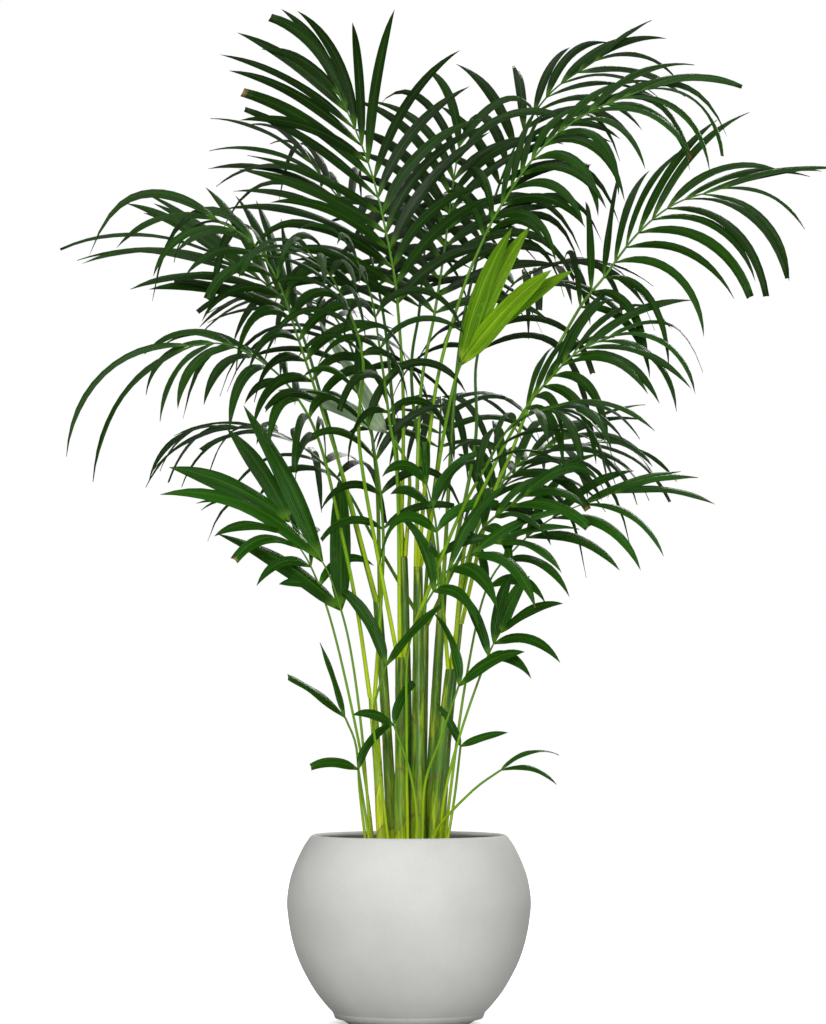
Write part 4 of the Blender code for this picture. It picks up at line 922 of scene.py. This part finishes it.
def frond_tree():
    """A leaflet bent along its own arc on every point, and a tube along the midrib line."""
    tree, given = growth_tree("frond", [
        ("Blank Leaflet", "NodeSocketObject"), ("Leaf Finish", "NodeSocketMaterial"),
        ("Stalk Finish", "NodeSocketMaterial"), ("Leaf Thickness", "NodeSocketFloat"),
        ("Stalk Sides", "NodeSocketInt")])
    is_leaf = put(tree, FIELD, "is_leaf", data_type="FLOAT")
    both = put(tree, "GeometryNodeSeparateGeometry", given["Geometry"],
               put(tree, MATH, is_leaf, 0.5, operation="GREATER_THAN"), give=None, domain="POINT")
    blank = put(tree, "GeometryNodeObjectInfo", given["Blank Leaflet"], give="Geometry")
    set_out = put(tree, "GeometryNodeInstanceOnPoints", both["Selection"], named={"Instance": blank})
    leaves = put(tree, "GeometryNodeRealizeInstances", set_out)
    u, v, level = put(tree, SPLIT, put(tree, FIELD, "place", data_type="FLOAT_VECTOR"), give=None)
    length, width, bend = put(tree, SPLIT, put(tree, FIELD, "size", data_type="FLOAT_VECTOR"),
                              give=None)
    wide_a, wide_f, upper = put(tree, SPLIT, put(tree, FIELD, "lay", data_type="FLOAT_VECTOR"),
                                give=None)
    twist, nod, fold = put(tree, SPLIT, put(tree, FIELD, "habit", data_type="FLOAT_VECTOR"), give=None)
    root, start, fall, axle = (put(tree, FIELD, key, data_type="FLOAT_VECTOR")
                               for key in ("root", "out", "fall", "axle"))
    # middle line of the leaflet: an arc that turns from its first direction towards its fall
    turned = times(tree, bend, u)
    sine = put(tree, MATH, turned, operation="SINE")
    cosine = put(tree, MATH, turned, operation="COSINE")
    sag = put(tree, MATH, 1.0, cosine, operation="SUBTRACT")
    radius = put(tree, MATH, length, bend, operation="DIVIDE")
    ahead_s = stretch(tree, start, sine)
    fall_s = stretch(tree, fall, sag)
    arc = stretch(tree, together(tree, ahead_s, fall_s), radius)
    start_c = stretch(tree, start, cosine)
    start_s = stretch(tree, start, sine)
    fall_c = stretch(tree, fall, cosine)
    fall_t = stretch(tree, fall, sine)
    ahead = together(tree, start_c, fall_t)
    lean = put(tree, VECTOR, fall_c, start_s, operation="SUBTRACT")
    # width and upper directions, turned a little more towards the tip
    wide = together(tree, stretch(tree, axle, wide_a), stretch(tree, lean, wide_f))
    wide = put(tree, VECTOR, wide, operation="NORMALIZE")
    top = stretch(tree, put(tree, VECTOR, ahead, wide, operation="CROSS_PRODUCT"), upper)
    spin = times(tree, twist, put(tree, MATH, u, 1.3, operation="POWER"))
    spin_c = put(tree, MATH, spin, operation="COSINE")
    spin_s = put(tree, MATH, spin, operation="SINE")
    wide_t = together(tree, stretch(tree, wide, spin_c), stretch(tree, top, spin_s))
    top_t = put(tree, VECTOR, stretch(tree, top, spin_c), stretch(tree, wide, spin_s),
                operation="SUBTRACT")
    # a blunt leaflet shows only the first part of the outline, stretched over its length
    kept = put(tree, MATH, 1.0, put(tree, FIELD, "cut", data_type="FLOAT"), operation="SUBTRACT")
    curve = put(tree, "ShaderNodeFloatCurve", named={"Value": times(tree, u, kept)})
    line = curve.node.mapping.curves[0]
    for x, y in OUTLINE[1:-1]:
        line.points.new(x, y)
    line.points[0].location = OUTLINE[0]
    line.points[len(OUTLINE) - 1].location = OUTLINE[-1]
    curve.node.mapping.update()
    half = times(tree, times(tree, width, 0.5), curve)
    across = times(tree, v, half)
    keel = times(tree, put(tree, MATH, across, operation="ABSOLUTE"), fold)
    ripple = put(tree, MATH, put(tree, MATH, u, 11.0, times(tree, twist, 40.0),
                                 operation="MULTIPLY_ADD"), operation="SINE")
    ripple = times(tree, ripple, times(tree, across, 0.12))
    skin = put(tree, MATH, level, given["Leaf Thickness"], ripple, operation="MULTIPLY_ADD")
    rise = put(tree, MATH, skin, keel, operation="SUBTRACT")
    spot = together(tree, root, arc)
    spot = together(tree, spot, stretch(tree, wide_t, across))
    spot = together(tree, spot, stretch(tree, top_t, rise))
    nodded = times(tree, nod, put(tree, MATH, u, 3.0, operation="POWER"))
    hooked = put(tree, MATH, put(tree, FIELD, "hook", data_type="FLOAT"),
                 put(tree, MATH, u, 6.0, operation="POWER"), nodded, operation="MULTIPLY_ADD")
    drop = times(tree, hooked, length)
    spot = put(tree, VECTOR, spot, put(tree, JOIN, 0.0, 0.0, drop), operation="SUBTRACT")
    shaped = put(tree, "GeometryNodeSetPosition", leaves, named={"Position": spot})
    leafy = put(tree, "GeometryNodeSetMaterial", shaped, named={"Material": given["Leaf Finish"]})
    # stalk and midrib
    rail = put(tree, "GeometryNodeMeshToCurve", both["Inverted"])
    ring = put(tree, "GeometryNodeCurvePrimitiveCircle", given["Stalk Sides"], named={"Radius": 1.0},
               mode="RADIUS")
    marked = put(tree, "GeometryNodeStoreNamedAttribute", ring, data_type="FLOAT_VECTOR",
                 domain="POINT", named={"Name": "girth",
                                        "Value": put(tree, "GeometryNodeInputPosition")})
    tube = put(tree, "GeometryNodeCurveToMesh", rail, marked,
               named={"Scale": put(tree, FIELD, "thick", data_type="FLOAT"), "Fill Caps": True})
    skinned = put(tree, "GeometryNodeSetMaterial", tube, named={"Material": given["Stalk Finish"]})
    joined = put(tree, "GeometryNodeJoinGeometry", skinned)
    tree.links.new(leafy, joined.node.inputs[0])
    smooth = put(tree, "GeometryNodeSetShadeSmooth", joined)
    tree.links.new(put(tree, "GeometryNodeRealizeInstances", smooth),
                   tree.nodes["Group Output"].inputs[0])
    return tree


def blank_leaflet():
    """Thin closed blade whose points know their place along it, across it and through it."""
    rows = 13
    verts = []
    faces = [(3, 2, 1, 0)]
    for k in range(rows + 1):
        for v, level in ((-1.0, 0.0), (0.0, 1.0), (1.0, 0.0), (0.0, -1.0)):
            verts.append((k / rows, v, level))
    for k in range(rows):
        for i in range(4):
            j = (i + 1) % 4
            faces.append((4 * k + i, 4 * k + j, 4 * k + 4 + j, 4 * k + 4 + i))
    faces.append(tuple(4 * rows + i for i in range(4)))
    mesh = bpy.data.meshes.new("blank_leaflet")
    mesh.from_pydata(verts, [], faces)
    mark_points(mesh, {"place": verts})
    crease = mesh.attributes.new("sharp_edge", "BOOLEAN", "EDGE")
    for edge in mesh.edges:
        a, b = edge.vertices
        crease.data[edge.index].value = a % 4 == b % 4 and a % 4 in (0, 2)
    return bpy.data.objects.new("blank_leaflet", mesh)


def frond_seed(number, row):
    """The midrib line and one point for each leaflet, carrying all that the tree needs."""
    rail = row["rail"]
    count = max(12, int(rail.length / 0.014))
    verts = [tuple(rail.at(rail.length * k / count)) for k in range(count + 1)]
    edges = [(k, k + 1) for k in range(count)]
    verts += [tuple(leaf["root"]) for leaf in row["leaves"]]
    mesh = bpy.data.meshes.new("seed")
    mesh.from_pydata(verts, edges, [])
    size = len(verts)
    plain = {key: [0.0] * size for key in ("is_leaf", "thick", "run", "share", "hook", "cut")}
    aimed = {key: [(0.0, 0.0, 0.0)] * size for key in
             ("root", "out", "fall", "axle", "size", "lay", "habit", "tint")}
    for k in range(count + 1):
        s = rail.length * k / count
        beyond = max(0.0, s - rail.fork) / max(0.01, rail.length - rail.fork)
        plain["thick"][k] = stalk_radius(rail, row, s)
        plain["run"][k] = s
        plain["share"][k] = 0.8 * min(1.0, s / max(rail.fork, 0.05)) + 0.2 * beyond
    for k, leaf in enumerate(row["leaves"]):
        i = count + 1 + k
        dice = random.Random(number * 211 + k)
        plain["is_leaf"][i] = 1.0
        for key in ("root", "out", "fall", "axle"):
            aimed[key][i] = tuple(leaf[key])
        upper = 1.0 if leaf["out"].cross(leaf["across"]).dot(leaf["top"]) > 0.0 else -1.0
        aimed["size"][i] = (leaf["length"], leaf["width"] * dice.uniform(0.90, 1.14), leaf["bend"])
        aimed["lay"][i] = (leaf["across"].dot(leaf["axle"]), leaf["across"].dot(leaf["fall"]), upper)
        aimed["habit"][i] = (dice.gauss(0.0, 0.36), leaf["nod"], dice.uniform(0.22, 0.55))
        plain["hook"][i] = leaf["hook"]
        tone = min(1.0, max(0.0, row["tone"] + dice.gauss(0.0, 0.15)))
        aimed["tint"][i] = (tone, dice.random(), leaf["width"])
        plain["cut"][i] = dice.uniform(0.14, 0.27) if dice.random() < row["blunt"] else 0.0
    mark_points(mesh, plain)
    mark_points(mesh, aimed)
    return placed("seed", mesh)


# how light each frond's leaflets are, from 0 dark to 1 light
TONES = {"top_left": 0.25, "top_left_back": 0.10, "top_mid": 0.22, "top_right_back": 0.12,
         "top_right_front": 0.55, "right_big": 0.45, "right_mid": 0.50, "right_low": 0.55,
         "left_upper_front": 0.40, "left_upper_back": 0.35, "left_lower": 0.50, "centre_front": 0.30,
         "back_left": 0.20, "back_right": 0.20, "back_centre": 0.20, "front_left": 0.45,
         "front_right": 0.40,
         "right_inner": 0.45, "left_inner": 0.40, "centre_inner": 0.45}
# share of each frond's leaflets that end blunt, torn off when they unfolded
BLUNT = {"top_left": 0.24, "top_left_back": 0.15, "top_mid": 0.30, "front_right_young": 0.30,
         "young_spear": 0.0}
FROND = frond_tree()
blank = blank_leaflet()
for number, row in enumerate(FRONDS):
    name = row["name"]
    row["tone"] = TONES.get(name, 0.40)
    row["blunt"] = BLUNT.get(name, 0.07)
    leaf_mat, leaf_slot = LEAF_MATURE, "leaf_dark"
    if name in YOUNG:
        leaf_mat, leaf_slot = LEAF_YOUNG, "leaf_young"
    if name == "young_spear":
        leaf_mat, leaf_slot = LEAF_NEW, "leaf_new"
    if name == "pale_leaf":
        leaf_mat, leaf_slot = LEAF_PALE, "leaf_pale"
    made = grow(frond_seed(number, row), FROND, {"Blank Leaflet": blank, "Leaf Finish": leaf_mat,
                "Stalk Finish": STALK_GREEN if "back" in name else STALK_LIME, "Leaf Thickness": 0.0007,
                "Stalk Sides": 10}, "palm_" + name)
    ready(made, leaf_slot, "frond_" + name)
bpy.data.objects.remove(blank, do_unlink=True)


# ---- stems ----------------------------------------------------------------
def cane(key, number):
    """A cane in its leaf sheaths, each ending in a slanted papery margin."""
    dice = random.Random(40 + number)
    rings = 110
    sides = 28
    tall = STEMS[key][1][2] * GROWTH
    ends = []
    at = 0.10 + 0.06 * dice.random()
    while at < 0.93:
        ends.append((at, dice.uniform(0.0, 2.0 * math.pi), dice.uniform(0.012, 0.030) / tall))
        at += dice.uniform(0.065, 0.11) / tall
    verts = []
    girth = []
    wraps = []
    shares = []
    for k in range(rings + 1):
        share = k / rings
        centre = stem_axis(key, share)
        for i in range(sides):
            angle = 2.0 * math.pi * i / sides
            layers = 0
            margin = 0.0
            for end, facing, slant in ends:
                edge = end + slant * math.cos(angle - facing)
                if share < edge:
                    layers += 1
                margin = max(margin, 1.0 - min(1.0, abs(edge - share) * tall / 0.004))
            swell = 1.0 + 0.035 * (layers - 0.5 * len(ends))
            rib = 0.012 * math.sin(9.0 * angle + 2.0 * number) * (0.4 + 0.6 * share)
            place = Vector((math.cos(angle), math.sin(angle), share * tall * 10.0 + number))
            wander = 0.04 * noise.noise(place)
            radius = stem_radius(key, share) * (0.985 * swell + rib + wander)
            around = Vector((math.cos(angle), math.sin(angle), 0.0))
            verts.append(centre + around * radius)
            girth.append((around.x, around.y, share * tall * 7.0 + number))
            wraps.append((margin, layers / 5.0, 1.0 if layers % 2 else 0.0))
            shares.append(share)
    faces = [tuple(reversed(range(sides)))]
    for k in range(rings):
        for i in range(sides):
            j = (i + 1) % sides
            faces.append((sides * k + i, sides * k + j, sides * k + sides + j, sides * k + sides + i))
    faces.append(tuple(sides * rings + i for i in range(sides)))
    mesh = bpy.data.meshes.new("cane_" + key)
    mesh.from_pydata([tuple(v) for v in verts], [], faces)
    for face in mesh.polygons:
        face.use_smooth = len(face.vertices) == 4
    mark_points(mesh, {"share": shares, "girth": girth, "wrap": wraps})
    mesh.materials.append(SHEATH_LIME if key == "a" else SHEATH)
    ready(placed("cane_" + key, mesh), "stem_lime" if key == "a" else "stem_green", "stem_" + key)


for number, key in enumerate(STEMS):
    cane(key, number)


# ---- planter, nursery pot and potting mix ---------------------------------
def turned_body(name, profile, sides, mat, centre=(0.0, 0.0), uneven=None):
    """Finely turned closed body from a profile that starts and ends on the axis."""
    bm = bmesh.new()
    rings = []
    for radius, height in profile:
        if radius < 1e-6:
            rings.append([bm.verts.new((centre[0], centre[1], height))])
            continue
        ring = []
        for i in range(sides):
            a = 2.0 * math.pi * i / sides
            r, z = uneven(a, radius, height) if uneven else (radius, height)
            ring.append(bm.verts.new((centre[0] + r * math.cos(a), centre[1] + r * math.sin(a), z)))
        rings.append(ring)
    for low, high in zip(rings, rings[1:]):
        for i in range(sides):
            j = (i + 1) % sides
            if len(low) == 1:
                bm.faces.new((low[0], high[j], high[i]))
            elif len(high) == 1:
                bm.faces.new((low[i], low[j], high[0]))
            else:
                bm.faces.new((low[i], low[j], high[j], high[i]))
    bmesh.ops.recalc_face_normals(bm, faces=bm.faces[:])
    for face in bm.faces:
        face.smooth = True
    mesh = bpy.data.meshes.new(name)
    bm.to_mesh(mesh)
    bm.free()
    mesh.materials.append(mat)
    return placed(name, mesh)


def rounded(points, steps):
    """A denser profile on a smooth curve through the same points."""
    flat = [Vector((r, 0.0, z)) for r, z in points]
    return [(max(p.x, 0.0), p.z) for p in smooth_path(flat, steps)]


def softened(points, cut):
    """The same profile with each corner eased over a small cut."""
    out = [points[0]]
    for before, here, after in zip(points, points[1:], points[2:]):
        corner = Vector(here)
        back = Vector(before) - corner
        on = Vector(after) - corner
        back *= min(cut / back.length, 0.45)
        on *= min(cut / on.length, 0.45)
        for t in (0.0, 0.35, 0.65, 1.0):
            eased = corner + back * (1.0 - t) ** 2 + on * t ** 2
            out.append((eased.x, eased.y))
    return out + [points[-1]]


bowl = rounded(lip[-1:] + inner[::-1] + [(floor_r, PLANTER_FLOOR)], 3)
globe = ([(0.0, 0.0), (outer[0][0] * 0.5, 0.0), (outer[0][0] - 0.002, 0.0)] + rounded(outer, 4) + lip[:1]
         + bowl + [(floor_r * 0.5, PLANTER_FLOOR), (0.0, PLANTER_FLOOR)])
ready(turned_body("globe_planter", globe, 144, CLAY), "planter", "planter")

grow_pot = softened(pot_profile, 0.0015)
ready(turned_body("grow_pot", grow_pot, 96, GROW_POT, (POT_SHIFT, 0.0)), "nursery_pot", "nursery_pot")


def crumbly(a, radius, height):
    """Uneven top of the potting mix; its sides and bottom stay true."""
    if height < SOIL_TOP - 0.002:
        return radius, height
    place = Vector((radius * math.cos(a), radius * math.sin(a), 0.0))
    rough = noise.noise(place * 45.0) * 0.0022 + noise.noise(place * 150.0) * 0.0012
    edge = max(0.0, 1.0 - (soil_r(SOIL_TOP) - radius) / 0.02)
    return radius, height + (rough - 0.0012) * (1.0 - 0.8 * edge) - 0.004 * edge * edge


shoulder = SOIL_TOP - 0.006
mound = [(0.0, soil_low), (soil_r(soil_low) - 0.002, soil_low), (soil_r(shoulder), shoulder)]
mound += [(soil_r(SOIL_TOP) * k / 44.0, SOIL_TOP) for k in range(43, 0, -1)]
mound += [(0.0, SOIL_TOP - 0.001)]
ready(turned_body("potting_mix", mound, 120, PEAT, (POT_SHIFT, 0.0), crumbly), "potting_mix", "soil")


def bark_tree():
    """Bark chips and crumbs strewn over the potting mix."""
    tree, given = growth_tree("bark", [
        ("Chips Per Area", "NodeSocketFloat"), ("Chip Size", "NodeSocketFloat"),
        ("Finish", "NodeSocketMaterial"), ("Seed", "NodeSocketInt")])
    strewn = put(tree, "GeometryNodeDistributePointsOnFaces", given["Geometry"],
                 named={"Density": given["Chips Per Area"], "Seed": given["Seed"]})
    chip = put(tree, "GeometryNodeMeshIcoSphere", named={"Radius": 1.0, "Subdivisions": 1})
    turn = put(tree, "FunctionNodeRandomValue", (-0.5, -0.5, 0.0), (0.5, 0.5, 6.28), named={"Seed": 5},
               data_type="FLOAT_VECTOR")
    size = put(tree, "FunctionNodeRandomValue", (0.25, 0.20, 0.10), (1.0, 0.6, 0.32), named={"Seed": 9},
               data_type="FLOAT_VECTOR")
    scaled = stretch(tree, size, given["Chip Size"])
    laid = put(tree, "GeometryNodeInstanceOnPoints", strewn,
               named={"Instance": chip, "Rotation": turn, "Scale": scaled})
    real = put(tree, "GeometryNodeRealizeInstances", laid)
    done = put(tree, "GeometryNodeSetMaterial", real, named={"Material": given["Finish"]})
    tree.links.new(done, tree.nodes["Group Output"].inputs[0])
    return tree


strewing = bpy.data.meshes.new("strewing")
bm = bmesh.new()
bmesh.ops.create_circle(bm, cap_ends=True, segments=48, radius=soil_r(SOIL_TOP) - 0.008)
bmesh.ops.translate(bm, verts=bm.verts[:], vec=(POT_SHIFT, 0.0, SOIL_TOP - 0.0012))
bm.to_mesh(strewing)
bm.free()
ground = placed("strewing", strewing)
chips = {"Chips Per Area": 15000.0, "Chip Size": 0.0045, "Finish": BARK, "Seed": 3}
ready(grow(ground, bark_tree(), chips, "bark_chips"), "potting_mix")


# ---- floor, light and camera ----------------------------------------------
floor_mesh = bpy.data.meshes.new("floor")
floor_mesh.from_pydata([(-14, -14, 0), (14, -14, 0), (14, 14, 0), (-14, 14, 0)], [], [(0, 1, 2, 3)])
floor_obj = placed("floor", floor_mesh)
paper, paper_tree, paper_shader = finish_start("studio_floor_paper", 0.95, specular=0.1)
# the paper looks white, and throws less light back up than white paper would
met = put(paper_tree, "ShaderNodeLightPath", give="Is Camera Ray")
paper_tree.links.new(blend(paper_tree, met, "#bcbcba", "#fbfbfb"), paper_shader.inputs["Base Color"])
# it lies on a light table, which keeps it white as far as the eye can see
paper_shader.inputs["Emission Color"].default_value = (1.0, 1.0, 1.0, 1.0)
paper_tree.links.new(put(paper_tree, RAMP, met, 0.0, 1.0, 0.0, 0.50),
                     paper_shader.inputs["Emission Strength"])
floor_mesh.materials.append(paper)

world = bpy.data.worlds.new("studio")
bpy.context.scene.world = world
world.use_nodes = True
sky = world.node_tree
surround = sky.nodes["Background"]
surround.inputs["Color"].default_value = (1.0, 1.0, 1.0, 1.0)
# white behind the plant, and a softer level of light from all round
seen = put(sky, "ShaderNodeLightPath", give="Is Camera Ray")
sky.links.new(put(sky, RAMP, seen, 0.0, 1.0, 0.16, 1.0), surround.inputs["Strength"])
LIT_SPOT = Vector((0.0, 0.0, 0.9))     # middle of the plant, where each softbox is aimed
for name, place, size, power in (("key_softbox", (-1.3, -5.0, 2.6), 1.8, 160.0),
                                 ("fill_softbox", (1.5, -5.0, 1.4), 1.8, 85.0),
                                 ("back_softbox", (1.5, 4.0, 3.0), 2.2, 120.0)):
    lamp = bpy.data.lights.new(name, "AREA")
    lamp.shape = "SQUARE"
    lamp.size = size
    lamp.energy = power
    hung = placed(name, lamp)
    hung.location = place
    hung.rotation_euler = (LIT_SPOT - Vector(place)).to_track_quat("-Z", "Y").to_euler()
overhead = bpy.data.lights.new("overhead", "SUN")
overhead.energy = 1.4
overhead.angle = 1.4
placed("overhead", overhead).rotation_euler = (0.12, 0.06, 0.0)

EYE_AT = Vector((0.007, -5.70, 0.57))
GAZE_AT = Vector((0.007, 0.0, 0.897))
VIEW_TALL = 1.8074       # height of the view at the plant
SENSOR = 36.0            # height of the camera's sensor in mm
lens = bpy.data.cameras.new("camera")
eye = placed("camera", lens)
eye.location = EYE_AT
gaze = GAZE_AT - eye.location
eye.rotation_euler = gaze.to_track_quat("-Z", "Y").to_euler()
lens.sensor_fit = "VERTICAL"
lens.sensor_height = SENSOR
lens.lens = SENSOR * gaze.length / VIEW_TALL
bpy.context.scene.camera = eye
bpy.context.scene.view_settings.view_transform = "Standard"
